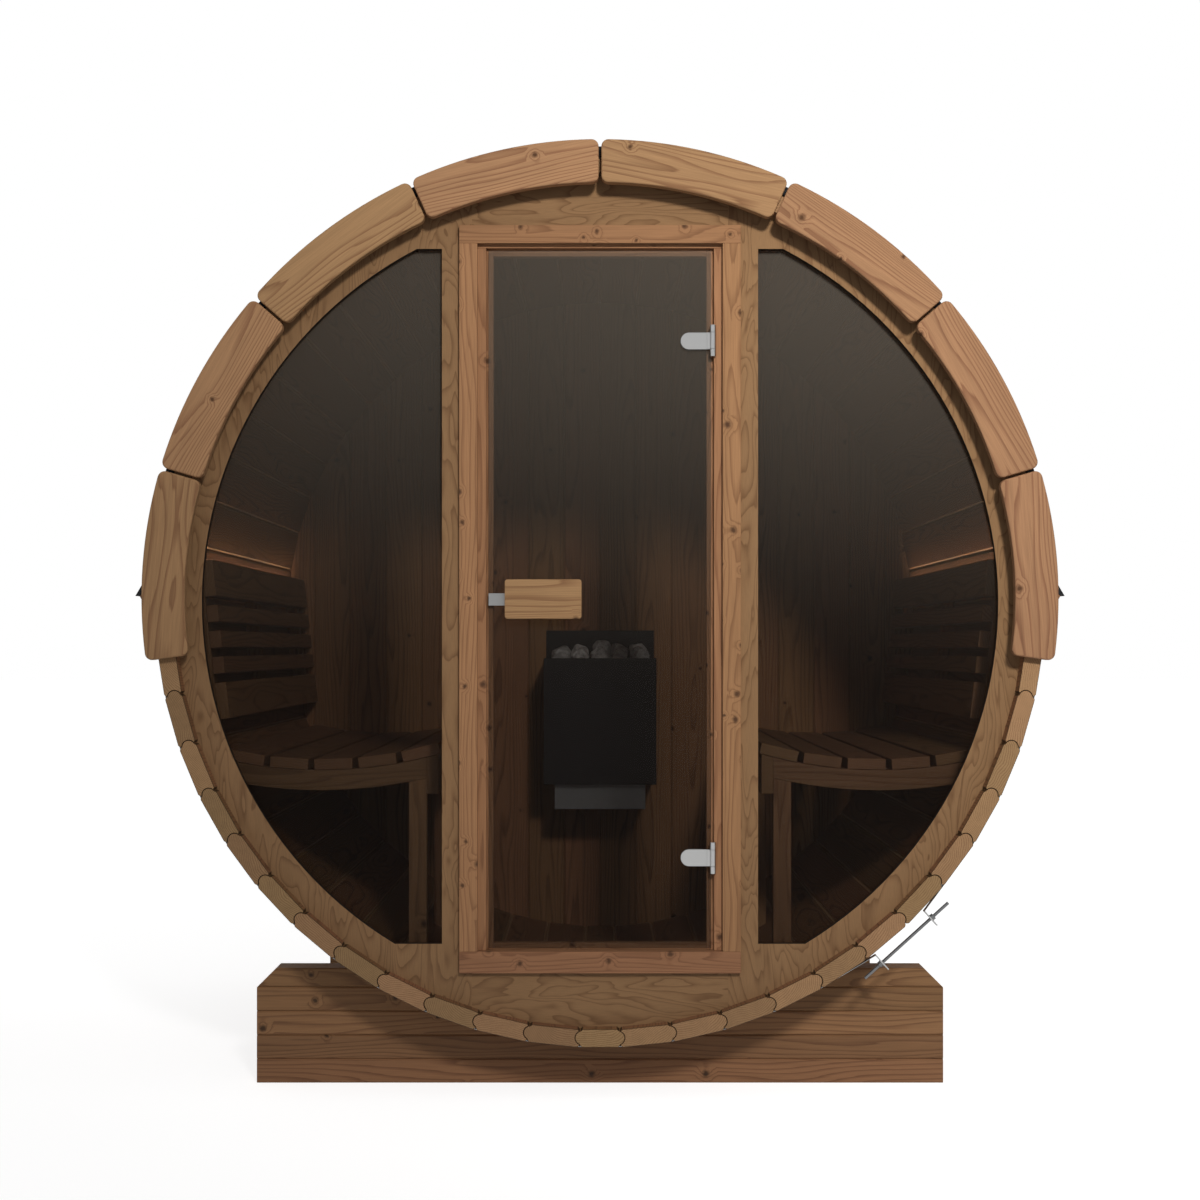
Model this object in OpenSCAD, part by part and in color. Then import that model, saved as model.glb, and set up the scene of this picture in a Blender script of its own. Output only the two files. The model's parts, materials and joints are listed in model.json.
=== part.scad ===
// Barrel sauna: a round cabin of bead-and-cove staves lying in two cradles,
// with plywood front, side windows, a glass door, benches and a stone heater.

/* [Barrel] */
// Distance from the barrel's axis to the outer faces of the staves
barrel_r = 1000; // [900:5:1100]
// Length of the staves
barrel_l = 1800; // [1500:10:2400]
// Thickness of a stave
stave_t = 40; // [36:1:50]
// Staves up each side of the key stave
side_staves = 26; // [24:1:30]
// Width of the key stave at the very bottom
key_w = 92; // [70:1:110]
// Width of a stave's bead across the joint
bead_w = 29; // [24:0.5:30]
// How far a bead stands out of its stave
bead_out = 10.7; // [7:0.1:12]
// Depth of the notch at a joint between staves
notch_d = 4.8; // [2:0.1:5.2]
// Width that the notch takes off each stave
notch_w = 5.5; // [2:0.1:8]
// Height of the barrel's underside above the ground
barrel_lift = 122; // [80:1:200]

/* [End walls] */
// Distance of the walls' outer faces from the ends of the staves
wall_inset = 38; // [25:1:60]
// Thickness of the plywood front wall
ply_t = 20; // [15:1:30]
// Thickness of the rear wall's boards
rear_t = 28; // [20:1:40]
// Width of a rear wall board
rear_board_w = 110; // [90:1:140]
// Edge chamfer of a rear wall board
rear_chamfer = 4; // [1:0.5:8]
// Depth of the groove that the walls stand in
croze_d = 10; // [6:1:14]

/* [Windows] */
// Width of the plywood between the door's casing and a window
window_gap = 40; // [25:1:100]
// Width of the plywood rim left outside a window
window_rim = 58; // [40:1:100]
// Height from a window's top edge to the top of the barrel's inside
window_top_rim = 159; // [140:1:360]
// Height from the bottom of the barrel's inside to a window's bottom edge
window_low_rim = 187; // [140:1:360]
// Thickness of the window glass
window_glass_t = 6; // [4:1:10]
// How far the glass reaches behind the plywood
window_lap = 14; // [8:1:24]

/* [Door] */
// Width of the door's glass
door_w = 505; // [460:1:520]
// Height from the door's glass to the top of the barrel's inside
door_top_rim = 163; // [150:1:260]
// Height from the bottom of the barrel's inside to the door's glass
door_low_rim = 177; // [165:1:300]
// Thickness of the door's glass
door_glass_t = 8; // [6:1:10]
// Free gap between the glass and its frame
door_gap = 5.5; // [5:0.1:8]
// Thickness of the jambs
jamb_t = 32; // [26:1:36]
// Depth of the jambs from front to back
jamb_d = 42; // [36:1:60]
// How far the stop reaches in behind the glass
stop_w = 16; // [12:1:24]
// Distance of the glass behind the front of the jambs
glass_set = 2; // [1:0.5:4]
// Width of the casing boards
casing_w = 41; // [36:1:60]
// Thickness of the casing boards
casing_t = 18; // [12:1:22]
// Width of jamb left showing beside a casing stile
side_reveal = 19; // [10:1:24]
// Width of jamb left showing under the casing head
top_reveal = 8; // [4:1:20]
// Height of the casing's bottom rail
rail_h = 49; // [40:1:70]

/* [Door fittings] */
// Diameter of a hinge knuckle
knuckle_d = 13; // [11:0.5:15]
// Height of a whole hinge knuckle
knuckle_h = 71; // [60:1:90]
// Diameter of a hinge pin
pin_d = 6; // [5:0.5:7]
// Distance of the hinges from the door's top and bottom edges
hinge_inset = 205; // [150:1:300]
// Length of a hinge leaf on the glass
leaf_l = 66; // [50:1:80]
// Height of a hinge leaf
leaf_h = 38; // [30:1:44]
// Thickness of a hinge leaf
leaf_t = 5; // [3:0.5:5.5]
// Width of a wooden handle block
handle_w = 173; // [140:1:190]
// Height of a wooden handle block
handle_h = 89; // [70:1:110]
// Thickness of a wooden handle block
handle_t = 38; // [30:1:45]
// Height of the handles' middle above the barrel's axis
handle_z = 7; // [-60:1:60]
// Length of the steel latch plate beside the handle
latch_l = 38; // [30:1:44]
// Height of the latch plate
latch_h = 28; // [20:1:36]
// Thickness of the latch plate
latch_t = 3; // [2:0.5:4]

/* [Trim] */
// How far the trim boards stand out beyond the staves
trim_over = 25; // [15:1:40]
// Width of the trim boards
trim_w = 97; // [80:1:110]
// Thickness of the trim boards
trim_t = 28; // [20:1:36]
// Height of the trim circle's centre above the barrel's axis
trim_rise = 9.6; // [4:0.1:14]
// Trim boards on each side of the top
trim_boards = 4; // [3:1:5]
// Angle from one trim joint to the next
trim_step = 24.53; // [18:0.01:26]
// Gap between trim boards
trim_gap = 6; // [3:0.5:10]
// Corner radius of the trim boards
trim_corner = 16; // [8:1:24]

/* [Roof] */
// Thickness of the shingle covering at its thin upper edges
shingle_t = 10; // [6:0.5:14]
// Extra thickness at the lower edge of each shingle course
course_step = 8; // [4:0.5:10]
// Shingle courses on each side
courses = 10; // [7:1:13]
// Reach of the flared eaves beyond the staves
eaves_out = 44; // [36:1:60]
// Height of the eaves' lower edge above the barrel's axis
eaves_z = 14; // [8:1:30]
// Height at which the covering kicks out to the eaves
kick_z = 55; // [45:1:90]
// Thickness of the covering along the flared eaves
eaves_t = 8; // [6:0.5:12]
// Depth of the cant batten below the covering's edge
batten_drop = 7; // [3:1:12]

/* [Straps] */
// Width of a steel strap
strap_w = 20; // [16:1:30]
// Thickness of a steel strap
strap_t = 0.8; // [0.6:0.1:1.5]
// Distance of a strap's middle from the ends of the staves
strap_inset = 26; // [16:1:60]
// Angle of the tensioners below the horizontal
tension_angle = 47.8; // [40:0.1:50]
// Distance between the lugs of a tensioner
lug_span = 148; // [120:1:180]
// Length of a lug
lug_h = 43; // [36:1:55]
// Thickness of a lug
lug_t = 3; // [2:0.5:5]
// Angle over which a strap's end lifts off the barrel
lift_angle = 7.2; // [6:0.1:8]
// Diameter of the threaded rod
rod_d = 8; // [6:1:10]
// Length of the threaded rod
rod_l = 254; // [230:1:280]
// Distance of the rod's axis from the staves
rod_out = 31; // [28:1:36]
// Width across the flats of a nut
nut_w = 13; // [12:1:17]
// Height of a nut
nut_h = 6.5; // [5:0.5:9]

/* [Cradles] */
// Width of a cradle
cradle_w = 1608; // [1400:10:1700]
// Height of a cradle
cradle_h = 269; // [240:1:340]
// Thickness of a cradle
cradle_t = 80; // [60:1:120]
// Distance of a cradle's outer face from the ends of the staves
cradle_inset = 200; // [120:5:300]
// Size of the cut corners
cradle_cut = 45; // [20:1:60]
// Height of one cradle board
cradle_board_h = 56.2; // [54.5:0.1:60]
// Edge chamfer of a cradle board
cradle_chamfer = 3; // [1:0.5:6]

/* [Benches] */
// Distance from the seat's lowest point to the aisle
seat_reach = 276; // [255:1:290]
// Distance of the bench ends from the front wall's inner face
bench_set = 154; // [100:1:300]
// Slats in a bench
seat_slats = 5; // [4:1:5]
// Width of a seat slat
seat_w = 90; // [70:1:92]
// Thickness of a seat slat
seat_t = 26; // [20:1:32]
// Gap between seat slats
seat_gap = 12.5; // [8:0.5:14]
// Radius of the hollow seat
seat_r = 1000; // [900:10:1300]
// Distance of the seat's lowest point from the staves beside it
seat_wall = 233.7; // [230:0.1:260]
// Depth of the seat's lowest point below the barrel's axis
seat_drop = 363; // [330:1:400]
// Height of a curved joist
joist_h = 47; // [36:1:60]
// Thickness of a joist along the barrel
joist_t = 42; // [30:1:60]
// Width of a leg
leg_w = 42; // [30:1:60]
// Thickness of a fascia board
fascia_t = 28; // [20:1:36]
// Depth of a fascia's lower edge below the barrel's axis
fascia_drop = 446; // [430:1:500]

/* [Backrests] */
// Distance of a backrest's foot from the staves beside it
back_wall = 52.8; // [46:0.1:70]
// Depth of a backrest's foot below the barrel's axis
back_drop = 268; // [240:1:275]
// Lean of a backrest
back_lean = 6.4; // [4:0.1:8]
// Height of the two outer slats
back_wide = 86; // [70:1:90]
// Height of the slats between them
back_narrow = 40; // [30:1:44]
// Slats between the two outer ones
back_inner = 3; // [2:1:3]
// Gap between backrest slats
back_gap = 21; // [14:1:24]
// Thickness of a backrest slat
back_t = 27; // [20:1:30]
// Thickness of a backrest batten along the barrel
back_batten_t = 40; // [30:1:60]

/* [Heater] */
// Width of the heater's shell
heater_w = 332; // [280:1:420]
// Height of the shell at its front
heater_h = 372; // [300:1:450]
// Depth of the shell from the wall plate
heater_d = 296; // [240:1:340]
// Depth of the shell's front rim below the barrel's axis
heater_drop = 133; // [80:1:200]
// Height of the wall plate above the rim
guard_h = 84; // [60:1:120]
// Thickness of the shell's sheet steel
sheet_t = 2; // [1.5:0.5:4]
// Height of the recessed base
base_h = 74; // [50:1:90]
// Distance of the base inside the shell's sides
base_inset = 32; // [20:1:50]
// Size of the heater's stones
stone_d = 84; // [60:1:90]

/* [Hidden] */
$fn = 96;
disc_facets = 180;
corner_steps = 5;
fit = 0.3;
stave_gap = 0.4;

// Colours of the finishes
thermo_wood = [0.62, 0.45, 0.32];
end_grain_wood = [0.52, 0.38, 0.26];
dark_wood = [0.36, 0.25, 0.17];
plywood = [0.56, 0.42, 0.31];
tinted_glass = [0.25, 0.22, 0.20, 0.6];
steel = [0.75, 0.76, 0.77];
bitumen = [0.07, 0.07, 0.08];
stone_grey = [0.35, 0.34, 0.33];

// Barrel: heights, radii and angles measured from the bottom of the barrel
axis_z = barrel_lift + barrel_r;
inner_r = barrel_r - stave_t;
half_l = barrel_l / 2;
key_half = atan(key_w / 2 / barrel_r);
stave_step = (180 - key_half) / side_staves;
stave_half = stave_step / 2;
corner_r = barrel_r / cos(stave_half);
joint_r = barrel_r - stave_t / 2;
bead_r = (pow(bead_w / 2, 2) + pow(bead_out, 2)) / (2 * bead_out);
floor_share = 0.27;
wall_share = 0.65;
lower_third = floor(side_staves * floor_share);
upper_third = floor(side_staves * wall_share);

// End walls: Y of the faces
croze_r = inner_r + croze_d;
wall_r = croze_r - fit;
front_face = wall_inset - half_l;
front_inner = front_face + ply_t;
rear_face = half_l - wall_inset;
rear_inner = rear_face - rear_t;
inner_fit_r = inner_r - fit;

// Door: edges measured from the barrel's axis
door_half = door_w / 2;
door_top = inner_r - door_top_rim;
door_low = door_low_rim - inner_r;
frame_half = door_half + door_gap;
frame_top = door_top + door_gap;
frame_low = door_low - door_gap;
hole_half = frame_half + jamb_t;
hole_top = frame_top + jamb_t;
hole_low = frame_low - jamb_t;
casing_half = frame_half + side_reveal + casing_w;
casing_inner = frame_half + side_reveal;
casing_head_low = frame_top + top_reveal;
glass_front = front_face + glass_set;
glass_back = glass_front + door_glass_t;
stop_front = glass_back + door_gap;
jamb_back = front_face + jamb_d;
window_x = casing_half + window_gap;
window_top = inner_r - window_top_rim;
window_low = inner_r - window_low_rim;
window_r = inner_r - window_rim;

// Hinges and handles
hinge_x = door_half + door_gap / 2;
knuckle_r = knuckle_d / 2;
knuckle_stand = 1;
hinge_y = front_face - knuckle_r - knuckle_stand;
hinge_heights = [door_low + hinge_inset, door_top - hinge_inset];
pin_clearance = 0.05;
pin_grip = 1;
leaf_stop_gap = 2 * door_gap;
knuckle_step = 0.5;
leaf_start = hinge_x - knuckle_r - leaf_l;
handle_x = latch_l - door_half + handle_w / 2;
handle_corner = 6.5;

// Trim
trim_r = barrel_r + trim_over;
trim_inner = trim_r - trim_w;
trim_steps = 16;

// Roof
strap_in = corner_r + fit;
strap_out = strap_in + strap_t;
cover_in = strap_out + fit;
cover_out = cover_in + shingle_t;
eaves_x = barrel_r + eaves_out;
kick_out = asin(kick_z / cover_out);
kick_in = asin(kick_z / cover_in);
ridge_half = 0.2;
ridge_angle = asin(ridge_half / cover_in);
course_angle = (90 - ridge_angle - kick_out) / courses;
course_steps = 4;
covering_steps = 48;
eaves_slope = 30;
eaves_edge = eaves_t / cos(eaves_slope);

// Straps
strap_facets = 180;
lug_r = strap_out / cos(lift_angle);
lug_angle = asin(lug_span / 2 / lug_r);
tail_angle = lug_angle + lift_angle;
tail_l = strap_out * tan(lift_angle);
lug_base = lug_r * cos(lug_angle) - strap_t / 2;
rod_r = barrel_r + rod_out;
nut_sides = 6;

// Benches and backrests
seat_x = sqrt(pow(inner_r, 2) - pow(seat_drop, 2)) - seat_wall;
aisle_half = seat_x - seat_reach;
back_x = sqrt(pow(inner_r, 2) - pow(back_drop, 2)) - back_wall;
bench_front = front_inner + bench_set;
bench_rear = rear_inner - fit;
bench_l = bench_rear - bench_front;
joist_top = sqrt(pow(seat_r + seat_t, 2) + pow(seat_w / 2, 2)) + fit;
joist_low = joist_top + joist_h;
joist_x = aisle_half + fascia_t;
slat_angle = (seat_w + seat_gap) / seat_r * 180 / PI;
first_slat = asin((aisle_half + seat_w / 2 - seat_x) / seat_r);
seat_z = seat_r - seat_drop;
frame_ys = [
    bench_front + joist_t / 2,
    (bench_front + bench_rear) / 2,
    bench_rear - joist_t / 2
];
back_h = 2 * back_wide + back_inner * back_narrow + (back_inner + 1) * back_gap;
batten_trim = 10;

// Heater
heater_back = rear_inner - sheet_t;
heater_front = heater_back - heater_d;
heater_low = -heater_drop - heater_h;

function polar(r, a) = r * [cos(a), sin(a)];
function arc(r, a0, a1, n) = [for (i = [0:n]) polar(r, a0 + (a1 - a0) * i / n)];
function corner(at, r, a0, a1) = [for (p = arc(r, a0, a1, corner_steps)) at + p];

// A shape drawn across the barrel, X sideways and Y up from its axis, run from y0 to y1
module along(y0, y1) {
    translate([0, y1, axis_z])
        rotate([90, 0, 0])
            linear_extrude(y1 - y0)
                children();
}

module left() {
    mirror([1, 0, 0])
        children();
}

module both_sides() {
    children();
    left()
        children();
}

// The same piece at the rear end of the barrel
module rear() {
    mirror([0, 1, 0])
        children();
}

module disc(r) {
    circle(r, $fn = disc_facets);
}

module box_between(low, high) {
    translate(low)
        square(high - low);
}

module rounded_block(w, h, r) {
    polygon(concat(
        corner([w / 2 - r, h / 2 - r], r, 0, 90),
        corner([r - w / 2, h / 2 - r], r, 90, 180),
        corner([r - w / 2, r - h / 2], r, 180, 270),
        corner([w / 2 - r, r - h / 2], r, 270, 360)
    ));
}

// Section of one stave with its middle on +X; low and high say which edge has the bead
module stave_section(half, low_bead, high_bead) {
    outer_y = barrel_r * tan(half) - notch_w;
    inner_y = inner_r * tan(half) - notch_w;
    edge_out = (barrel_r - notch_d) * tan(half) - stave_gap / 2;
    edge_in = (inner_r + notch_d) * tan(half) - stave_gap / 2;
    bead_back = bead_r - bead_out;
    bead_at = polar(joint_r, half) - bead_back * [-sin(half), cos(half)];
    cove_at = polar(joint_r, half) + bead_back * [-sin(half), cos(half)];
    difference() {
        union() {
            polygon([
                [barrel_r, -outer_y], [barrel_r, outer_y],
                [barrel_r - notch_d, edge_out], [inner_r + notch_d, edge_in],
                [inner_r, inner_y], [inner_r, -inner_y],
                [inner_r + notch_d, -edge_in], [barrel_r - notch_d, -edge_out]
            ]);
            if (high_bead)
                translate(bead_at)
                    circle(bead_r);
            if (low_bead)
                translate([bead_at.x, -bead_at.y])
                    circle(bead_r);
        }
        if (!high_bead)
            translate(cove_at)
                circle(bead_r + stave_gap);
        if (!low_bead)
            translate([cove_at.x, -cove_at.y])
                circle(bead_r + stave_gap);
    }
}

// A whole stave at an angle from the bottom, with the grooves for the end walls
module stave(angle, half, low_bead, high_bead) {
    difference() {
        along(-half_l, half_l)
            rotate(angle - 90)
                stave_section(half, low_bead, high_bead);
        along(front_face, front_inner)
            disc(croze_r);
        along(rear_inner, rear_face)
            disc(croze_r);
    }
}

// Staves first to last of one side, counted up from the key stave
module side_run(first, last, top_bead) {
    for (i = [first:last])
        stave(key_half + (i + 0.5) * stave_step, stave_half, false, top_bead || i < side_staves - 1);
}

module key_stave() {
    color(end_grain_wood)
        stave(0, key_half, true, true);
}

module right_floor_staves() {
    color(end_grain_wood)
        side_run(0, lower_third - 1, true);
}

module right_side_staves() {
    color(end_grain_wood)
        side_run(lower_third, upper_third - 1, true);
}

module right_roof_staves() {
    color(end_grain_wood)
        side_run(upper_third, side_staves - 1, false);
}

module left_floor_staves() {
    left()
        right_floor_staves();
}

module left_side_staves() {
    left()
        right_side_staves();
}

module left_roof_staves() {
    color(end_grain_wood)
        left()
            side_run(upper_third, side_staves - 1, true);
}

// Side window's outline, grown all round by the glass that lies behind the plywood
module window_outline(grow) {
    intersection() {
        disc(window_r + grow);
        box_between([window_x - grow, -window_low - grow], [inner_r, window_top + grow]);
    }
}

module front_wall_right() {
    color(plywood)
        along(front_face, front_inner)
            difference() {
                intersection() {
                    disc(wall_r);
                    box_between([hole_half, -wall_r], [wall_r, wall_r]);
                }
                window_outline(0);
            }
}

module front_wall_left() {
    left()
        front_wall_right();
}

module front_wall_header() {
    color(plywood)
        along(front_face, front_inner)
            intersection() {
                disc(wall_r);
                box_between([-hole_half, hole_top], [hole_half, wall_r]);
            }
}

module front_wall_sill() {
    color(plywood)
        along(front_face, front_inner)
            intersection() {
                disc(wall_r);
                box_between([-hole_half, -wall_r], [hole_half, hole_low]);
            }
}

module right_window_glass() {
    color(tinted_glass)
        along(front_inner, front_inner + window_glass_t)
            window_outline(window_lap);
}

module left_window_glass() {
    left()
        right_window_glass();
}

// One upright board of the rear wall, chamfered along both edges of both faces
module rear_board(x0, x1) {
    edge = stave_gap / 2;
    intersection() {
        along(rear_inner, rear_face)
            disc(wall_r);
        translate([0, 0, axis_z - wall_r])
            linear_extrude(2 * wall_r)
                polygon([
                    [x0 + edge + rear_chamfer, rear_inner], [x1 - edge - rear_chamfer, rear_inner],
                    [x1 - edge, rear_inner + rear_chamfer], [x1 - edge, rear_face - rear_chamfer],
                    [x1 - edge - rear_chamfer, rear_face], [x0 + edge + rear_chamfer, rear_face],
                    [x0 + edge, rear_face - rear_chamfer], [x0 + edge, rear_inner + rear_chamfer]
                ]);
    }
}

module rear_wall_boards() {
    per_side = round(wall_r / rear_board_w);
    color(thermo_wood)
        both_sides()
            for (i = [0:per_side - 1])
                rear_board(i * rear_board_w, i == per_side - 1 ? barrel_r : (i + 1) * rear_board_w);
}

// One arched trim board between two angles, with rounded corners
module trim_board(a0, a1) {
    outer_c = trim_r - trim_corner;
    inner_c = trim_inner + trim_corner;
    outer_d = asin(trim_corner / outer_c);
    inner_d = asin(trim_corner / inner_c);
    polygon(concat(
        arc(trim_r, a0 + outer_d, a1 - outer_d, trim_steps),
        corner(polar(outer_c, a1 - outer_d), trim_corner, a1 - outer_d, a1 + 90),
        corner(polar(inner_c, a1 - inner_d), trim_corner, a1 + 90, a1 + 180 - inner_d),
        arc(trim_inner, a1 - inner_d, a0 + inner_d, trim_steps),
        corner(polar(inner_c, a0 + inner_d), trim_corner, a0 + 180 + inner_d, a0 + 270),
        corner(polar(outer_c, a0 + outer_d), trim_corner, a0 - 90, a0 + outer_d)
    ));
}

module front_trim_boards() {
    gap_angle = trim_gap / trim_r * 180 / PI;
    color(thermo_wood)
        translate([0, 0, trim_rise])
            along(-half_l - trim_t, -half_l)
                for (i = [-trim_boards:trim_boards - 1])
                    trim_board(90 + i * trim_step + gap_angle / 2, 90 + (i + 1) * trim_step - gap_angle / 2);
}

module rear_trim_boards() {
    rear()
        front_trim_boards();
}

// Section of the right half of the shingle covering: overlapping courses, kicked out at the eaves
module covering_section() {
    polygon(concat(
        [[eaves_x - eaves_edge, eaves_z], [eaves_x, eaves_z]],
        [for (c = [0:courses - 1], part = [0:1 / course_steps:1])
            polar(cover_out + course_step * (1 - part), kick_out + (c + part) * course_angle)],
        arc(cover_in, 90 - ridge_angle, kick_in, covering_steps)
    ));
}

module right_roof_covering() {
    color(bitumen)
        along(-half_l, half_l)
            covering_section();
}

module left_roof_covering() {
    left()
        right_roof_covering();
}

// Cant batten that carries the flared lower edge of the covering
module eaves_battens() {
    tip_in = eaves_x - eaves_edge - fit;
    top = polar(cover_in, kick_in) - [fit, batten_drop];
    color(dark_wood)
        both_sides()
            along(-half_l, half_l)
                difference() {
                    polygon([
                        [inner_r, eaves_z - batten_drop],
                        [tip_in - batten_drop / 2, eaves_z - batten_drop],
                        [tip_in, eaves_z],
                        top,
                        [inner_r, top.y]
                    ]);
                    disc(cover_in);
                }
}

// End of a strap's straight tail, on the outer or inner face, above or below the tensioner
function tail_end(r, side) =
    polar(r, side * tail_angle) + tail_l * [sin(tail_angle), -side * cos(tail_angle)];

// Steel strap round the staves, its two ends lifted straight off them and turned out as lugs
module strap_section() {
    rotate(-tension_angle) {
        polygon(concat(
            [tail_end(strap_out, 1)],
            arc(strap_out, tail_angle, 360 - tail_angle, strap_facets),
            [tail_end(strap_out, -1), tail_end(strap_in, -1)],
            arc(strap_in, 360 - tail_angle, tail_angle, strap_facets),
            [tail_end(strap_in, 1)]
        ));
        for (side = [-1, 1])
            translate([lug_base, (side * lug_span - lug_t) / 2])
                square([lug_h, lug_t]);
    }
}

module at_tensioner() {
    translate([0, strap_inset - half_l, axis_z])
        rotate([0, tension_angle, 0])
            translate([rod_r, 0, 0])
                children();
}

module front_strap() {
    strap_y = strap_inset - half_l;
    color(steel)
        difference() {
            along(strap_y - strap_w / 2, strap_y + strap_w / 2)
                strap_section();
            at_tensioner()
                cylinder(d = rod_d + 2 * fit, h = 2 * lug_span, center = true);
        }
}

module rear_strap() {
    rear()
        front_strap();
}

// Threaded rod with its nuts drawn up against the lugs
module front_tensioner() {
    color(steel)
        at_tensioner() {
            cylinder(d = rod_d, h = rod_l, center = true);
            for (side = [-1, 1])
                translate([0, 0, side * (lug_span / 2 + lug_t / 2 + nut_h / 2)])
                    cylinder(d = nut_w / cos(180 / nut_sides), h = nut_h, center = true, $fn = nut_sides);
        }
}

module rear_tensioner() {
    rear()
        front_tensioner();
}

// Outline of a cradle with cut corners and a hollow for the barrel
module cradle_outline() {
    half = cradle_w / 2;
    difference() {
        polygon([
            [-half, 0], [half, 0], [half, cradle_h - cradle_cut], [half - cradle_cut, cradle_h],
            [cradle_cut - half, cradle_h], [-half, cradle_h - cradle_cut]
        ]);
        translate([0, axis_z])
            disc(corner_r + fit);
    }
}

// One board of a cradle, chamfered along its edges
module cradle_board(z0, z1) {
    y0 = cradle_inset - half_l;
    y1 = y0 + cradle_t;
    c = cradle_chamfer;
    translate([-cradle_w, 0, 0])
        rotate([90, 0, 90])
            linear_extrude(2 * cradle_w)
                polygon([
                    [y0 + c, z0], [y1 - c, z0], [y1, z0 + c], [y1, z1 - c],
                    [y1 - c, z1], [y0 + c, z1], [y0, z1 - c], [y0, z0 + c]
                ]);
}

module front_cradle() {
    boards = ceil(cradle_h / cradle_board_h);
    color(dark_wood)
        for (i = [0:boards - 1])
            intersection() {
                translate([0, cradle_inset - half_l + cradle_t, 0])
                    rotate([90, 0, 0])
                        linear_extrude(cradle_t)
                            cradle_outline();
                cradle_board(i * cradle_board_h, min((i + 1) * cradle_board_h - stave_gap, cradle_h));
            }
}

module rear_cradle() {
    rear()
        front_cradle();
}

module door_casing_head() {
    color(thermo_wood)
        along(front_face - casing_t, front_face)
            box_between([-casing_half, casing_head_low], [casing_half, casing_head_low + casing_w]);
}

module door_casing_stiles() {
    color(thermo_wood)
        both_sides()
            along(front_face - casing_t, front_face)
                box_between([casing_inner, frame_low], [casing_half, casing_head_low]);
}

module door_casing_rail() {
    color(thermo_wood)
        along(front_face - casing_t, front_face)
            box_between([-casing_half, frame_low - rail_h], [casing_half, frame_low]);
}

module door_jamb_sides() {
    color(thermo_wood)
        both_sides() {
            along(front_face, jamb_back)
                box_between([frame_half, frame_low], [hole_half, frame_top]);
            along(stop_front, jamb_back)
                box_between([frame_half - stop_w, frame_low], [frame_half, frame_top]);
        }
}

module door_jamb_head() {
    stop_half = frame_half - stop_w;
    color(thermo_wood) {
        along(front_face, jamb_back)
            box_between([-hole_half, frame_top], [hole_half, hole_top]);
        along(stop_front, jamb_back)
            box_between([-stop_half, frame_top - stop_w], [stop_half, frame_top]);
    }
}

module door_jamb_sill() {
    stop_half = frame_half - stop_w;
    color(thermo_wood) {
        along(front_face, jamb_back)
            box_between([-hole_half, hole_low], [hole_half, frame_low]);
        along(stop_front, jamb_back)
            box_between([-stop_half, frame_low], [stop_half, frame_low + stop_w]);
    }
}

module door_glass() {
    color(tinted_glass)
        along(glass_front, glass_back)
            box_between([-door_half, door_low], [door_half, door_top]);
}

module handle_outline() {
    translate([handle_x, handle_z])
        rounded_block(handle_w, handle_h, handle_corner);
}

module outer_door_handle() {
    color(thermo_wood)
        along(glass_front - handle_t, glass_front)
            handle_outline();
}

module inner_door_handle() {
    color(thermo_wood)
        along(glass_back, glass_back + handle_t)
            handle_outline();
}

module door_latch_plate() {
    color(steel)
        along(glass_front - latch_t, glass_front)
            box_between([-door_half, handle_z - latch_h / 2], [latch_l - door_half, handle_z + latch_h / 2]);
}

// Hinge leaf on the glass with the middle third of the knuckle, bored for the pin
module hinge_leaf(z) {
    round_x = leaf_start + leaf_h / 2;
    back_end = frame_half - stop_w - leaf_stop_gap;
    middle_h = leaf_h - 2 * knuckle_step;
    difference() {
        union() {
            along(glass_front - leaf_t, glass_front) {
                translate([round_x, z])
                    circle(leaf_h / 2);
                box_between([round_x, z - leaf_h / 2], [hinge_x - knuckle_r, z + leaf_h / 2]);
            }
            along(hinge_y, hinge_y + leaf_t)
                box_between([hinge_x - knuckle_d, z - middle_h / 2], [hinge_x, z + middle_h / 2]);
            translate([hinge_x, hinge_y, axis_z + z - middle_h / 2])
                cylinder(r = knuckle_r, h = middle_h);
        }
        translate([hinge_x, hinge_y, axis_z + z - leaf_h])
            cylinder(r = pin_d / 2 + pin_clearance, h = 2 * leaf_h);
    }
    along(glass_back, glass_back + leaf_t / 2) {
        translate([round_x, z])
            circle(leaf_h / 2);
        box_between([round_x, z - leaf_h / 2], [back_end, z + leaf_h / 2]);
    }
}

module door_hinge_leaves() {
    color(steel)
        for (z = hinge_heights)
            hinge_leaf(z);
}

// Outer thirds of a knuckle, standing on the jamb, with the pin that joins them
module hinge_knuckle(z) {
    end_h = (knuckle_h - leaf_h) / 2;
    translate([hinge_x, hinge_y, axis_z + z]) {
        cylinder(r = pin_d / 2, h = leaf_h + 2 * pin_grip, center = true);
        for (side = [-1, 1])
            translate([0, 0, side * (leaf_h + end_h) / 2])
                cylinder(r = knuckle_r, h = end_h, center = true);
    }
    for (low = [z - knuckle_h / 2, z + leaf_h / 2])
        along(hinge_y, front_face)
            box_between([frame_half, low], [hinge_x + knuckle_r, low + end_h]);
}

module hinge_knuckles() {
    color(steel)
        for (z = hinge_heights)
            hinge_knuckle(z);
}

module right_bench_slats() {
    color(thermo_wood)
        along(bench_front, bench_rear)
            for (i = [0:seat_slats - 1])
                translate([seat_x, seat_z])
                    rotate(first_slat + i * slat_angle)
                        translate([-seat_w / 2, -seat_r - seat_t])
                            square([seat_w, seat_t]);
}

module left_bench_slats() {
    left()
        right_bench_slats();
}

// Curved joist under the slats, from the fascia to the barrel's wall
module joist_outline() {
    intersection() {
        disc(inner_fit_r);
        box_between([joist_x, -inner_r], [inner_r, 0]);
        translate([seat_x, seat_z])
            difference() {
                disc(joist_low);
                disc(joist_top);
            }
    }
}

module bench_joists() {
    color(thermo_wood)
        both_sides()
            for (y = frame_ys)
                along(y - joist_t / 2, y + joist_t / 2)
                    joist_outline();
}

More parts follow.
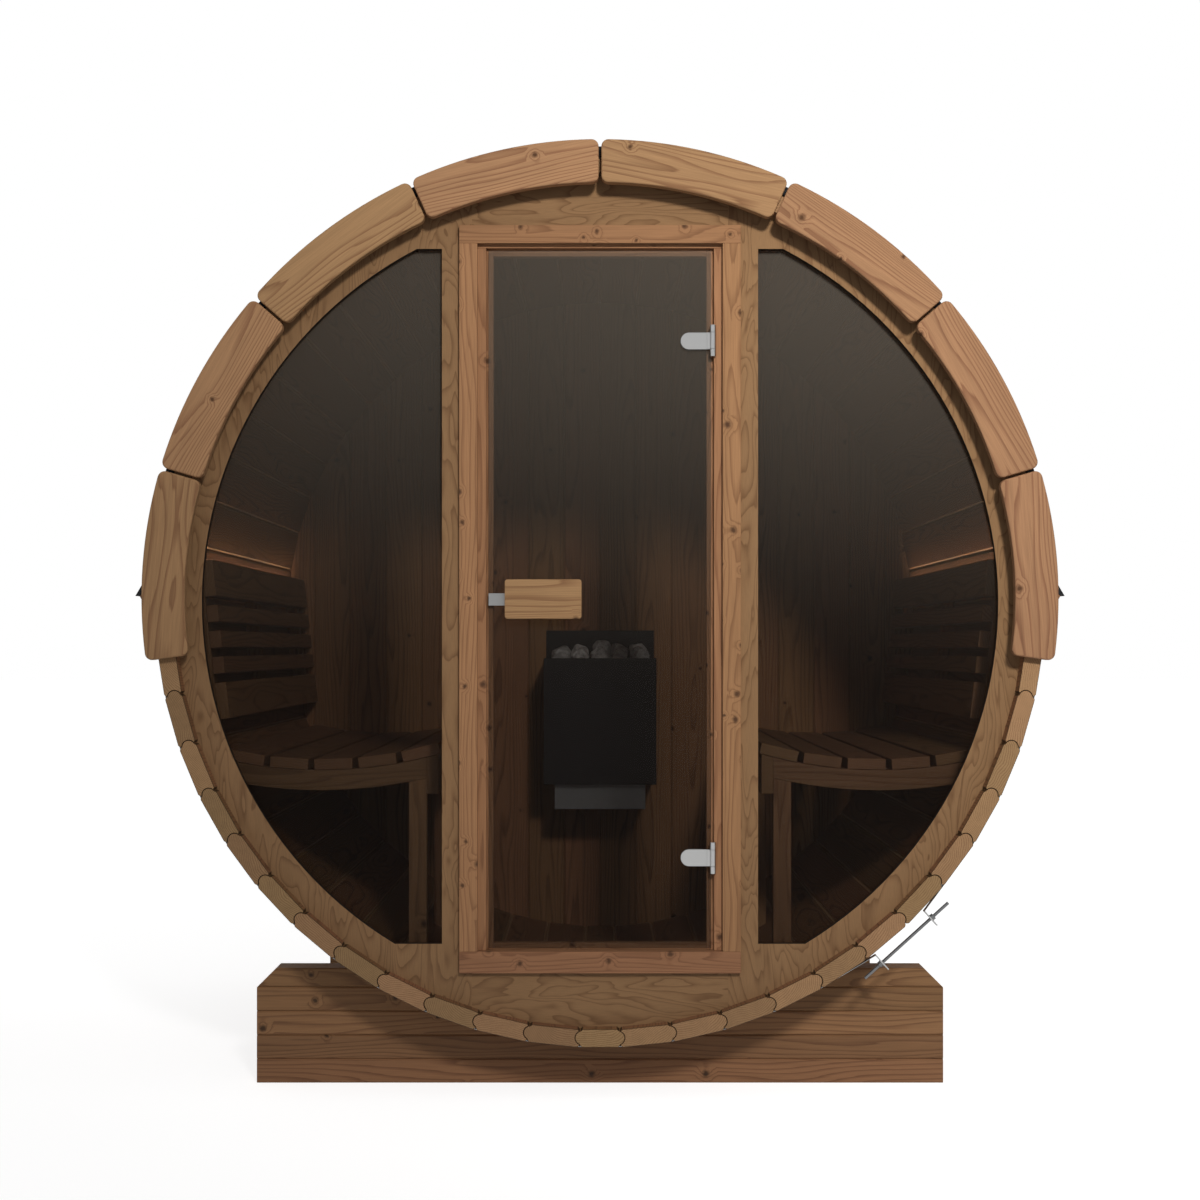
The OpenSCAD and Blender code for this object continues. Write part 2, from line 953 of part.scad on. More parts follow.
module bench_legs() {
    color(thermo_wood)
        both_sides()
            for (y = frame_ys)
                along(y - joist_t / 2, y + joist_t / 2)
                    difference() {
                        intersection() {
                            disc(inner_fit_r);
                            box_between([joist_x, -inner_r], [joist_x + leg_w, -seat_drop]);
                        }
                        translate([seat_x, seat_z])
                            disc(joist_low + fit);
                    }
}

module bench_fascias() {
    color(thermo_wood)
        both_sides()
            along(bench_front, bench_rear)
                difference() {
                    box_between([aisle_half, -fascia_drop], [joist_x, -seat_drop + seat_t]);
                    translate([seat_x, seat_z])
                        disc(joist_top);
                }
}

// Frame that leans back along the wall, its origin at the backrest's foot
module leaning() {
    translate([back_x, -back_drop])
        rotate(-back_lean)
            children();
}

module right_backrest_slats() {
    color(thermo_wood)
        along(bench_front, bench_rear)
            leaning() {
                square([back_t, back_wide]);
                for (i = [0:back_inner - 1])
                    translate([0, back_wide + back_gap + i * (back_narrow + back_gap)])
                        square([back_t, back_narrow]);
                translate([0, back_h - back_wide])
                    square([back_t, back_wide]);
            }
}

module left_backrest_slats() {
    left()
        right_backrest_slats();
}

// Shaped batten between the backrest slats and the curved wall
module backrest_battens() {
    color(thermo_wood)
        both_sides()
            for (y = frame_ys)
                along(y - back_batten_t / 2, y + back_batten_t / 2)
                    intersection() {
                        disc(inner_fit_r);
                        leaning()
                            translate([back_t, batten_trim])
                                square([barrel_r - back_x, back_h - 2 * batten_trim]);
                    }
}

// Open-topped sheet steel shell that holds the stones
module heater_shell() {
    color(bitumen)
        difference() {
            along(heater_front, heater_back)
                box_between([-heater_w / 2, heater_low], [heater_w / 2, -heater_drop]);
            along(heater_front + sheet_t, heater_back - sheet_t)
                box_between([sheet_t - heater_w / 2, heater_low + sheet_t], [heater_w / 2 - sheet_t, 0]);
        }
}

module heater_wall_plate() {
    color(bitumen)
        along(heater_back, rear_inner)
            box_between([-heater_w / 2, heater_low], [heater_w / 2, guard_h - heater_drop]);
}

module heater_base() {
    base_half = heater_w / 2 - base_inset;
    color(steel)
        difference() {
            along(heater_front + base_inset, heater_back)
                box_between([-base_half, heater_low - base_h], [base_half, heater_low]);
            along(heater_front + base_inset + sheet_t, heater_back - sheet_t)
                box_between(
                    [sheet_t - base_half, heater_low - base_h + sheet_t],
                    [base_half - sheet_t, heater_low + sheet_t]
                );
        }
}

// Heap of stones that fills the shell and rises above its rim
module heater_stones() {
    bed_w = heater_w - 2 * sheet_t - 2 * fit;
    bed_d = heater_d - 2 * sheet_t - 2 * fit;
    stone_r = stone_d / 2;
    across = 3;
    color(stone_grey)
        translate([0, heater_back - sheet_t - fit - bed_d / 2, axis_z - heater_drop]) {
            translate([-bed_w / 2, -bed_d / 2, sheet_t + fit - heater_h])
                cube([bed_w, bed_d, heater_h - stone_r]);
            for (i = [0:across - 1], j = [0:across - 1])
                translate([
                    (bed_w - stone_d - fit) * (i / (across - 1) - 0.5),
                    (bed_d - stone_d - fit) * (j / (across - 1) - 0.5),
                    j * stone_r / across - stone_r
                ])
                    sphere(d = stone_d);
        }
}

key_stave();
left_floor_staves();
left_side_staves();
left_roof_staves();
right_floor_staves();
right_side_staves();
right_roof_staves();
front_wall_left();
front_wall_right();
front_wall_header();
front_wall_sill();
left_window_glass();
right_window_glass();
rear_wall_boards();
front_trim_boards();
rear_trim_boards();
left_roof_covering();
right_roof_covering();
eaves_battens();
front_strap();
rear_strap();
front_tensioner();
rear_tensioner();
front_cradle();
rear_cradle();
door_casing_head();
door_casing_stiles();
door_casing_rail();
door_jamb_head();
door_jamb_sides();
door_jamb_sill();
door_glass();
outer_door_handle();
inner_door_handle();
door_latch_plate();
door_hinge_leaves();
hinge_knuckles();
left_bench_slats();
right_bench_slats();
bench_joists();
bench_legs();
bench_fascias();
left_backrest_slats();
right_backrest_slats();
backrest_battens();
heater_shell();
heater_wall_plate();
heater_base();
heater_stones();
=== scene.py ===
import json
import math
import random

import bmesh
import bpy
from mathutils import Matrix, Vector

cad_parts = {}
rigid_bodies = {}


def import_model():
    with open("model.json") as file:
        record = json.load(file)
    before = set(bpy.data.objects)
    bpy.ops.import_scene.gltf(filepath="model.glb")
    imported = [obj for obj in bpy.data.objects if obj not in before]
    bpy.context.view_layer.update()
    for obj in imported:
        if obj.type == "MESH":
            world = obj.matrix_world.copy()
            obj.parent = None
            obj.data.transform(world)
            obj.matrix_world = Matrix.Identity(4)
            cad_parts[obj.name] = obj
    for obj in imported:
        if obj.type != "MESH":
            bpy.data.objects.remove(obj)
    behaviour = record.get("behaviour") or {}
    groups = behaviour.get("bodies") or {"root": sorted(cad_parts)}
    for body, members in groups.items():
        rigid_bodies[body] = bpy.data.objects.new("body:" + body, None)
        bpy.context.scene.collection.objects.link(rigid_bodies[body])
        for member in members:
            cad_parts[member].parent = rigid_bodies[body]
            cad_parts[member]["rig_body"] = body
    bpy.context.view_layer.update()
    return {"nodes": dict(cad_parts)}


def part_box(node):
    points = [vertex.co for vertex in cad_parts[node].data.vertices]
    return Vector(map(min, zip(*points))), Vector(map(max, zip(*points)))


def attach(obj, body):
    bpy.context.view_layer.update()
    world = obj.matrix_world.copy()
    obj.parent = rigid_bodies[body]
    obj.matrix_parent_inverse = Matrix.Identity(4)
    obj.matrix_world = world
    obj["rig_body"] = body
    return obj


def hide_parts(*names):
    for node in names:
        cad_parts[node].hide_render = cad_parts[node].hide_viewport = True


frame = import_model()

# Barrel staves
# Fifty-three planed staves of heat-treated spruce, with a bead on one edge and a cove on the other.
# They stand edge to edge round the two end walls, and the steel straps draw them tight.
MM = 0.001
BARREL_R = 1000 * MM
nodes = frame["nodes"]
axis_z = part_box("key_stave")[0].z + BARREL_R
ALONG = Vector((0, 1, 0))
ACROSS = Vector((1, 0, 0))
UPRIGHT = Vector((0, 0, 1))


def linear(colour):
    """An sRGB hex colour as the linear RGBA that shaders take."""
    channels = [int(colour[i:i + 2], 16) / 255 for i in (1, 3, 5)]
    return [c / 12.92 if c <= 0.04045 else ((c + 0.055) / 1.055) ** 2.4 for c in channels] + [1.0]


def add(tree, kind, inputs=None, **settings):
    """Adds a node with its settings; an input is a value, or another node's output to link."""
    made = tree.nodes.new(kind)
    for name, value in settings.items():
        setattr(made, name, value)
    for key, value in (inputs or {}).items():
        if isinstance(value, bpy.types.NodeSocket):
            tree.links.new(value, made.inputs[key])
        else:
            made.inputs[key].default_value = value
    return made


def per(*sizes):
    """The scale at which a pattern repeats over these sizes in millimetres, one for each axis."""
    return [1 / (size * MM) for size in sizes]


def new_material(name):
    """A material of that name, with its node tree and its surface shader."""
    material = bpy.data.materials.new(name)
    material.use_nodes = True
    return material, material.node_tree, material.node_tree.nodes["Principled BSDF"]


def streaks(tree, at, sizes, detail):
    """Noise drawn out to these sizes in millimetres, one for each axis."""
    drawn = add(tree, "ShaderNodeVectorMath", {0: at, 1: per(*sizes)}, operation="MULTIPLY").outputs[0]
    return add(tree, "ShaderNodeTexNoise", {"Vector": drawn, "Scale": 1, "Detail": detail}).outputs


def surface(tree, shader, pattern, roughness, height, strength, depth, invert=False):
    """Roughness between two values after a pattern, and relief of a depth in millimetres."""
    rough = add(tree, "ShaderNodeMapRange", {"Value": pattern, 3: roughness[0], 4: roughness[1]}).outputs[0]
    tree.links.new(rough, shader.inputs["Roughness"])
    bump = add(tree, "ShaderNodeBump", {"Strength": strength, "Distance": depth * MM, "Height": height},
               invert=invert).outputs[0]
    tree.links.new(bump, shader.inputs["Normal"])


def timber(name, early, late, knot, ring=4.5, knots=0.3, cell=150, contrast=1.0, ends=None):
    """Sawn timber: growth rings round a heart below the face, bent by knots, with fibres along the grain.
    ring is the width of a year's growth and cell the spacing of possible knots, in millimetres; knots is
    the share of cells that hold one. ends gives the two ring colours of sawn ends and the colour of the
    painted shade on their eased arrises and in the notches."""
    material, tree, shader = new_material(name)
    grain = add(tree, "ShaderNodeAttribute", attribute_name="grain").outputs["Vector"]
    board = add(tree, "ShaderNodeAttribute", attribute_name="board").outputs["Fac"]
    log = add(tree, "ShaderNodeVectorMath", {0: (37, 11, 53), 1: board, 2: grain},
              operation="MULTIPLY_ADD").outputs[0]

    # The heart wanders along the log, which opens the rings into long pointed arches on a flat face.
    # Each board lies elsewhere in the log.
    wander = streaks(tree, log, (900, 140, 140), 2)["Color"]
    heart = add(tree, "ShaderNodeVectorMath",
                {0: board, 1: (0, 100 * MM, 40 * MM), 2: (0, -65 * MM, 35 * MM)},
                operation="MULTIPLY_ADD").outputs[0]
    bent = add(tree, "ShaderNodeVectorMath", {0: wander, 1: (0, 40 * MM, 60 * MM), 2: heart},
               operation="MULTIPLY_ADD").outputs[0]
    section = add(tree, "ShaderNodeVectorMath", {0: grain, 1: (0, 1, 1), 2: bent},
                  operation="MULTIPLY_ADD").outputs[0]
    reach = add(tree, "ShaderNodeVectorMath", {0: section}, operation="LENGTH").outputs["Value"]

    # Some cells of a loose net hold a knot of 3 to 7 mm in radius, and the rings swell round it
    ragged = add(tree, "ShaderNodeTexNoise",
                 {"Vector": log, "Scale": 1 / (9 * MM), "Detail": 2}).outputs["Color"]
    ragged = add(tree, "ShaderNodeVectorMath", {0: ragged, 1: (9 * MM, 5 * MM, 0), 2: log},
                 operation="MULTIPLY_ADD").outputs[0]
    spots = add(tree, "ShaderNodeVectorMath", {0: ragged, 1: per(cell, cell, cell)},
                operation="MULTIPLY").outputs[0]
    net = add(tree, "ShaderNodeTexVoronoi", {"Vector": spots, "Scale": 1}, voronoi_dimensions="2D")
    chance = add(tree, "ShaderNodeSeparateColor", {0: net.outputs["Color"]})
    has_knot = add(tree, "ShaderNodeMath", {0: chance.outputs[0], 1: knots},
                   operation="LESS_THAN").outputs[0]
    radius = add(tree, "ShaderNodeMath", {0: chance.outputs[1], 1: 4 / cell, 2: 3 / cell},
                 operation="MULTIPLY_ADD").outputs[0]
    ratio = add(tree, "ShaderNodeMath", {0: net.outputs["Distance"], 1: radius},
                operation="DIVIDE").outputs[0]
    swell = add(tree, "ShaderNodeMapRange", {"Value": ratio, 1: 0.0, 2: 4.5, 3: 1.0, 4: 0.0},
                interpolation_type="SMOOTHSTEP").outputs[0]
    swell = add(tree, "ShaderNodeMath", {0: swell, 1: has_knot}, operation="MULTIPLY").outputs[0]
    core = add(tree, "ShaderNodeMapRange", {"Value": ratio, 1: 0.5, 2: 1.6, 3: 0.9, 4: 0.0}).outputs[0]
    core = add(tree, "ShaderNodeMath", {0: core, 1: has_knot}, operation="MULTIPLY").outputs[0]

    # Streaks and fibres run along the grain. The fibres are drawn 2.4 mm wide, coarser than real ones.
    streak = streaks(tree, log, (500, 17, 17), 3)["Fac"]
    fibre = streaks(tree, log, (80, 2.4, 2.4), 2)["Fac"]

    # Late wood darkens through the second half of a year and stops short
    late_from, late_to = 0.55, 0.93
    years = add(tree, "ShaderNodeMath", {0: reach, 1: 1 / (ring * MM), 2: streak},
                operation="MULTIPLY_ADD").outputs[0]
    years = add(tree, "ShaderNodeMath", {0: swell, 1: 1.8, 2: years}, operation="MULTIPLY_ADD").outputs[0]
    year = add(tree, "ShaderNodeMath", {0: years}, operation="FRACT").outputs[0]
    shade = add(tree, "ShaderNodeMapRange",
                {"Value": year, 1: late_from, 2: late_to, 3: 0.0, 4: contrast}).outputs[0]
    fade = add(tree, "ShaderNodeMapRange", {"Value": year, 1: late_to, 2: 1.0, 3: 1.0, 4: 0.0}).outputs[0]
    shade = add(tree, "ShaderNodeMath", {0: shade, 1: fade}, operation="MULTIPLY").outputs[0]
    colour = add(tree, "ShaderNodeMix", {0: shade, 6: linear(early), 7: linear(late)},
                 data_type="RGBA").outputs[2]
    if ends:
        pale_end, dark_end, notch_shade = [linear(colour_of) for colour_of in ends]
        here = add(tree, "ShaderNodeTexCoord")
        facing = add(tree, "ShaderNodeSeparateXYZ", {0: here.outputs["Normal"]}).outputs["Y"]
        facing = add(tree, "ShaderNodeMath", {0: facing}, operation="ABSOLUTE").outputs[0]
        sawn = add(tree, "ShaderNodeMapRange", {"Value": facing, 1: 0.7, 2: 0.9}).outputs[0]
        cut = add(tree, "ShaderNodeMix", {0: shade, 6: pale_end, 7: dark_end}, data_type="RGBA").outputs[2]
        # Painted shade darkens the eased arris of a sawn end and the notches, whose sides lean from the
        # radius.
        # Between the end walls the inner notches stay pale, without it.
        notch_side = 0.93
        spoke = add(tree, "ShaderNodeVectorMath",
                    {0: here.outputs["Object"], 1: (1, 0, 1), 2: (0, 0, -axis_z)},
                    operation="MULTIPLY_ADD").outputs[0]
        spoke = add(tree, "ShaderNodeVectorMath", {0: spoke}, operation="NORMALIZE").outputs[0]
        outer = add(tree, "ShaderNodeVectorMath", {0: spoke, 1: here.outputs["Normal"]},
                    operation="DOT_PRODUCT").outputs["Value"]
        past_wall = add(tree, "ShaderNodeSeparateXYZ", {0: here.outputs["Object"]}).outputs["Y"]
        past_wall = add(tree, "ShaderNodeMath", {0: past_wall}, operation="ABSOLUTE").outputs[0]
        past_wall = add(tree, "ShaderNodeMath", {0: past_wall, 1: -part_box("front_wall_sill")[0].y},
                        operation="GREATER_THAN").outputs[0]
        shaded_side = add(tree, "ShaderNodeMath", {0: outer, 1: past_wall}, operation="MAXIMUM").outputs[0]
        shaded_side = add(tree, "ShaderNodeMath", {0: shaded_side, 1: 0.0}, operation="GREATER_THAN").outputs[0]
        outer = add(tree, "ShaderNodeMath", {0: outer}, operation="ABSOLUTE").outputs[0]
        leaning = add(tree, "ShaderNodeMath", {0: outer, 1: notch_side}, operation="LESS_THAN").outputs[0]
        notch = add(tree, "ShaderNodeMix", {0: shaded_side, 6: pale_end, 7: notch_shade}, data_type="RGBA").outputs[2]
        colour = add(tree, "ShaderNodeMix", {0: leaning, 6: colour, 7: notch}, data_type="RGBA").outputs[2]
        colour = add(tree, "ShaderNodeMix", {0: sawn, 6: colour, 7: cut}, data_type="RGBA").outputs[2]

    # Boards differ a little in depth of colour and in warmth
    tone = add(tree, "ShaderNodeMath", {0: streak, 1: 0.55, 2: fibre}, operation="MULTIPLY_ADD").outputs[0]
    tone = add(tree, "ShaderNodeMapRange", {"Value": tone, 1: 0.4, 2: 1.2, 3: 0.78, 4: 1.16}).outputs[0]
    pick = add(tree, "ShaderNodeMapRange", {"Value": board, 3: 0.86, 4: 1.12}).outputs[0]
    tone = add(tree, "ShaderNodeMath", {0: tone, 1: pick}, operation="MULTIPLY").outputs[0]
    warm = add(tree, "ShaderNodeMath", {0: board, 1: 7}, operation="MULTIPLY").outputs[0]
    warm = add(tree, "ShaderNodeMath", {0: warm}, operation="FRACT").outputs[0]
    hue = add(tree, "ShaderNodeMapRange", {"Value": warm, 3: 0.505, 4: 0.493}).outputs[0]
    colour = add(tree, "ShaderNodeHueSaturation", {"Hue": hue, "Value": tone, "Color": colour}).outputs[0]
    colour = add(tree, "ShaderNodeMix", {0: core, 6: colour, 7: linear(knot)}, data_type="RGBA").outputs[2]
    tree.links.new(colour, shader.inputs["Base Color"])

    relief = add(tree, "ShaderNodeMath", {0: shade, 1: 0.5, 2: fibre}, operation="MULTIPLY_ADD").outputs[0]
    surface(tree, shader, fibre, (0.52, 0.74), relief, 0.3, 0.5)
    shader.inputs["Specular IOR Level"].default_value = 0.3
    return material


def radial(point):
    """The way out from the barrel's axis at a point."""
    return Vector((point.x, 0, point.z - axis_z)).normalized()


def to_piece(name, made, *materials):
    """Sets a bmesh down in the scene as a piece with these materials."""
    mesh = bpy.data.meshes.new(name)
    made.to_mesh(mesh)
    made.free()
    for material in materials:
        mesh.materials.append(material)
    piece = bpy.data.objects.new(name, mesh)
    bpy.context.scene.collection.objects.link(piece)
    return piece


def eased(node, grain, face, material, ease=0.0, segments=2, ends_only=False):
    """A copy of a node's solids with edges eased by that many millimetres. Each solid stores its own grain
    frame, along the fibres, across them and out of the face, and a number of its own that sets its shade."""
    made = bmesh.new()
    made.from_mesh(nodes[node].data)
    bmesh.ops.remove_doubles(made, verts=made.verts, dist=0.01 * MM)
    bmesh.ops.dissolve_limit(made, angle_limit=math.radians(0.5), verts=made.verts, edges=made.edges)
    if ease:
        corner = math.radians(35)
        sharp = [e for e in made.edges if e.is_manifold and e.calc_face_angle() > corner]
        if ends_only:
            tip = max(v.co.y for v in made.verts) - 0.1 * MM
            sharp = [e for e in sharp if all(abs(v.co.y) > tip for v in e.verts)]
        bmesh.ops.bevel(made, geom=sharp, offset=ease * MM, segments=segments, profile=0.5,
                        affect="EDGES", clamp_overlap=True)
    grain_layer = made.verts.layers.float_vector.new("grain")
    board_layer = made.verts.layers.float.new("board")
    draw = random.Random(node)
    waiting = set(made.verts)
    for start in list(made.verts):
        if start not in waiting:
            continue
        island = [start]
        waiting.discard(start)
        for vert in island:
            for edge in vert.link_edges:
                other = edge.other_vert(vert)
                if other in waiting:
                    waiting.discard(other)
                    island.append(other)
        low = Vector([min(v.co[i] for v in island) for i in range(3)])
        high = Vector([max(v.co[i] for v in island) for i in range(3)])
        centre = (low + high) / 2
        fibres = grain(centre) if callable(grain) else grain
        out = face(centre) if callable(face) else face
        number = draw.random()
        for vert in island:
            at = vert.co - centre
            vert[grain_layer] = (at.dot(fibres), at.dot(out.cross(fibres)), at.dot(out))
            vert[board_layer] = number
    piece = to_piece(node + ".finished", made, material)
    piece.data.shade_smooth()
    piece.data.set_sharp_from_angle(angle=math.radians(12))
    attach(piece, nodes[node]["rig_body"])
    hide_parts(node)
    return piece


# Planed spruce, browned right through by the heat: sawn ends are paler and show the rings as arcs
# The third end colour is painted shade, laid on the eased arrises of the sawn ends and in the notches
stave_spruce = timber("heat-treated spruce staves", "#8A6344", "#6B4A32", "#3A2517", ring=4.2,
                      knots=0.35, cell=170, ends=("#A98660", "#876443", "#36240F"))
for node in ("key_stave", "left_floor_staves", "left_side_staves", "left_roof_staves",
             "right_floor_staves", "right_side_staves", "right_roof_staves"):
    eased(node, ALONG, radial, stave_spruce, ease=1.4, segments=1, ends_only=True)

# Front wall
# Four panels of rotary-cut birch plywood with an oiled face, let into a groove round the staves.
# The veneer is peeled round the log, so each ring shows as a broad wavy contour.


def veneer(name, light, line, edge_shade, lines=15):
    """Peeled veneer: contours of a smooth swelling surface, with faint fibres along the grain, which are
    drawn 2 mm wide, coarser than real ones, and painted shade on the edges. lines is how many contours a
    swelling holds."""
    material, tree, shader = new_material(name)
    grain = add(tree, "ShaderNodeAttribute", attribute_name="grain").outputs["Vector"]
    board = add(tree, "ShaderNodeAttribute", attribute_name="board").outputs["Fac"]
    sheet = add(tree, "ShaderNodeVectorMath", {0: (29, 17, 0), 1: board, 2: grain},
                operation="MULTIPLY_ADD").outputs[0]
    slow = add(tree, "ShaderNodeVectorMath", {0: sheet, 1: per(330, 83, 83)},
               operation="MULTIPLY").outputs[0]
    swell = add(tree, "ShaderNodeTexNoise", {"Vector": slow, "Scale": 1, "Detail": 2.5, "Roughness": 0.45,
                                             "Distortion": 0.5}).outputs["Fac"]
    streak = streaks(tree, sheet, (330, 33, 33), 3)["Fac"]
    fibre = streaks(tree, sheet, (25, 2, 2), 2)["Fac"]
    contour = add(tree, "ShaderNodeMath", {0: swell, 1: lines, 2: streak},
                  operation="MULTIPLY_ADD").outputs[0]
    contour = add(tree, "ShaderNodeMath", {0: contour}, operation="FRACT").outputs[0]
    shade = add(tree, "ShaderNodeMapRange", {"Value": contour, 1: 0.2, 2: 0.95}).outputs[0]
    shade = add(tree, "ShaderNodeMath", {0: shade, 1: 3.2}, operation="POWER").outputs[0]
    fade = add(tree, "ShaderNodeMapRange", {"Value": contour, 1: 0.94, 2: 1.0, 3: 1.0, 4: 0.0}).outputs[0]
    shade = add(tree, "ShaderNodeMath", {0: shade, 1: fade}, operation="MULTIPLY").outputs[0]
    colour = add(tree, "ShaderNodeMix", {0: shade, 6: linear(light), 7: linear(line)},
                 data_type="RGBA").outputs[2]
    tone = add(tree, "ShaderNodeMath", {0: streak, 1: 0.8, 2: fibre}, operation="MULTIPLY_ADD").outputs[0]
    tone = add(tree, "ShaderNodeMapRange", {"Value": tone, 1: 0.5, 2: 1.3, 3: 0.84, 4: 1.14}).outputs[0]
    colour = add(tree, "ShaderNodeHueSaturation", {"Value": tone, "Color": colour}).outputs[0]
    # Faces that turn away from the front, the reveals round the windows among them, get painted shade
    facing = add(tree, "ShaderNodeTexCoord").outputs["Normal"]
    facing = add(tree, "ShaderNodeSeparateXYZ", {0: facing}).outputs["Y"]
    edge = add(tree, "ShaderNodeMath", {0: facing}, operation="ABSOLUTE").outputs[0]
    edge = add(tree, "ShaderNodeMath", {0: edge, 1: 0.5}, operation="LESS_THAN").outputs[0]
    colour = add(tree, "ShaderNodeMix", {0: edge, 6: colour, 7: linear(edge_shade)}, data_type="RGBA").outputs[2]
    tree.links.new(colour, shader.inputs["Base Color"])
    surface(tree, shader, fibre, (0.5, 0.68), fibre, 0.2, 0.4)
    shader.inputs["Specular IOR Level"].default_value = 0.3
    return material


# Birch under brown oil: broad pale fields between thin darker contours, with painted shade making the edges
# nearly black
birch_plywood = veneer("rotary-cut birch plywood", "#93714F", "#755539", "#1E150F")
for node in ("front_wall_left", "front_wall_right"):
    eased(node, UPRIGHT, -ALONG, birch_plywood)
for node in ("front_wall_header", "front_wall_sill"):
    eased(node, ACROSS, -ALONG, birch_plywood)

# Rear wall
# Upright boards of the same spruce, chamfered where they meet, in a groove round the staves.
# Loose tongues in their edges keep the joints closed.

# The same spruce in wide boards: brown, with long arches and dark round knots
wall_spruce = timber("heat-treated spruce boards", "#8A6344", "#6B4A32", "#35221A", ring=5, knots=0.4,
                     cell=190)
eased("rear_wall_boards", UPRIGHT, ALONG, wall_spruce)
low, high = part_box("rear_wall_boards")
rear_board_w = 110 * MM
joints_a_side = 8
tongue_w = 10 * MM
tongue_t = 6 * MM
tongue_r = high.x - 5 * MM
tongues = bmesh.new()
for joint in range(-joints_a_side, joints_a_side + 1):
    x = joint * rear_board_w
    tall = 2 * math.sqrt(tongue_r ** 2 - x ** 2)
    place = Matrix.Translation((x, (low.y + high.y) / 2, axis_z))
    bmesh.ops.create_cube(tongues, size=1, matrix=place @ Matrix.Diagonal((tongue_w, tongue_t, tall, 1)))
piece = to_piece("rear_wall_tongues", tongues, wall_spruce)
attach(piece, nodes["rear_wall_boards"]["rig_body"])

# Windows
# Panes of bronze-tinted toughened glass behind the plywood, held by their lapped edges.
# The tint is in the glass itself, so they look the same from both sides.


def tinted_glass():
    """Bronze float glass: smooth, with faint wiping marks, and paler towards the top with a painted
    reflection of the sky.
    """
    material, tree, shader = new_material("bronze tinted toughened glass")
    at = add(tree, "ShaderNodeTexCoord").outputs["Object"]
    marks = add(tree, "ShaderNodeTexNoise",
                {"Vector": at, "Scale": 1 / (330 * MM), "Detail": 4}).outputs["Fac"]
    rough = add(tree, "ShaderNodeMapRange", {"Value": marks, 3: 0.02, 4: 0.06}).outputs[0]
    tree.links.new(rough, shader.inputs["Roughness"])
    dark_up_to = axis_z - 250 * MM
    painted_sky_from = axis_z + 920 * MM
    height = add(tree, "ShaderNodeSeparateXYZ", {0: at}).outputs["Z"]
    pale = add(tree, "ShaderNodeMapRange", {"Value": height, 1: dark_up_to, 2: painted_sky_from},
               interpolation_type="SMOOTHSTEP").outputs[0]
    # The pale colour towards the top is a painted reflection of the sky, mixed into the glass's own dark tint
    tint_and_painted_sky = add(tree, "ShaderNodeMix", {0: pale, 6: linear("#1F1A17"), 7: linear("#726A5F")},
               data_type="RGBA").outputs[2]
    tree.links.new(tint_and_painted_sky, shader.inputs["Base Color"])
    shader.inputs["IOR"].default_value = 1.52
    shader.inputs["Specular IOR Level"].default_value = 0.06
    shader.inputs["Alpha"].default_value = 0.28
    return material


# Dark brown and see-through: what stands inside shows dimmed
bronze_glass = tinted_glass()
for node in ("left_window_glass", "right_window_glass", "door_glass"):
    nodes[node].material_slots[0].material = bronze_glass

# End trim
# Eight boards at each end, sawn to an arc from straight planks, with rounded corners and eased edges.
# They are screwed to the stave ends and cover the edge of the shingles.


def tangent(point):
    """The way round the barrel at a point."""
    out = radial(point)
    return Vector((-out.z, 0, out.x))


# Planks from the outer log: golden brown bands between thin red-brown lines, with a few round knots
trim_spruce = timber("heat-treated spruce trim", "#AF8660", "#8E6648", "#4A2F1E", ring=4.2, knots=0.32,
                     cell=130)
eased("front_trim_boards", tangent, -ALONG, trim_spruce, ease=4, segments=3)
eased("rear_trim_boards", tangent, ALONG, trim_spruce, ease=4, segments=3)

# Roof covering
# Bitumen shingles with mineral grit, nailed in ten overlapping courses a side from the eaves to the ridge.
# The joints of each course fall over the middle of the tabs below, and a row of caps closes the ridge.


def grit(name, dark, pale):
    """Bitumen pressed with stone grit. The grains are 2.5 mm wide, coarser than real ones, to show at all."""
    material, tree, shader = new_material(name)
    at = add(tree, "ShaderNodeTexCoord").outputs["Object"]
    board = add(tree, "ShaderNodeAttribute", attribute_name="board").outputs["Fac"]
    grains = add(tree, "ShaderNodeTexVoronoi", {"Vector": at, "Scale": 1 / (2.5 * MM)})
    pick = add(tree, "ShaderNodeSeparateColor", {0: grains.outputs["Color"]}).outputs[0]
    colour = add(tree, "ShaderNodeMix", {0: pick, 6: linear(dark), 7: linear(pale)},
                 data_type="RGBA").outputs[2]
    tone = add(tree, "ShaderNodeMapRange", {"Value": board, 3: 0.75, 4: 1.35}).outputs[0]
    colour = add(tree, "ShaderNodeHueSaturation", {"Value": tone, "Color": colour}).outputs[0]
    tree.links.new(colour, shader.inputs["Base Color"])
    surface(tree, shader, pick, (0.8, 0.96), grains.outputs["Distance"], 0.6, 1, invert=True)
    return material


def new_growth(name, inputs):
    """An empty Geometry Nodes tree with named inputs; gives the tree and the sockets of those inputs."""
    tree = bpy.data.node_groups.new(name, "GeometryNodeTree")
    tree.interface.new_socket("Geometry", in_out="OUTPUT", socket_type="NodeSocketGeometry")
    for label, kind in inputs.items():
        tree.interface.new_socket(label, in_out="INPUT", socket_type="NodeSocket" + kind)
    return tree, tree.nodes.new("NodeGroupInput").outputs


def grow(name, tree, sizes):
    """Runs a Geometry Nodes tree with its named inputs set and keeps the result as a plain mesh."""
    piece = bpy.data.objects.new(name, bpy.data.meshes.new(name))
    bpy.context.scene.collection.objects.link(piece)
    growth = piece.modifiers.new("growth", "NODES")
    growth.node_group = tree
    for item in tree.interface.items_tree:
        if item.in_out == "INPUT":
            growth[item.identifier] = sizes[item.name]
    graph = bpy.context.evaluated_depsgraph_get()
    mesh = bpy.data.meshes.new_from_object(piece.evaluated_get(graph))
    piece.modifiers.remove(growth)
    piece.data = mesh
    mesh.shade_smooth()
    mesh.set_sharp_from_angle(angle=math.radians(30))
    return piece


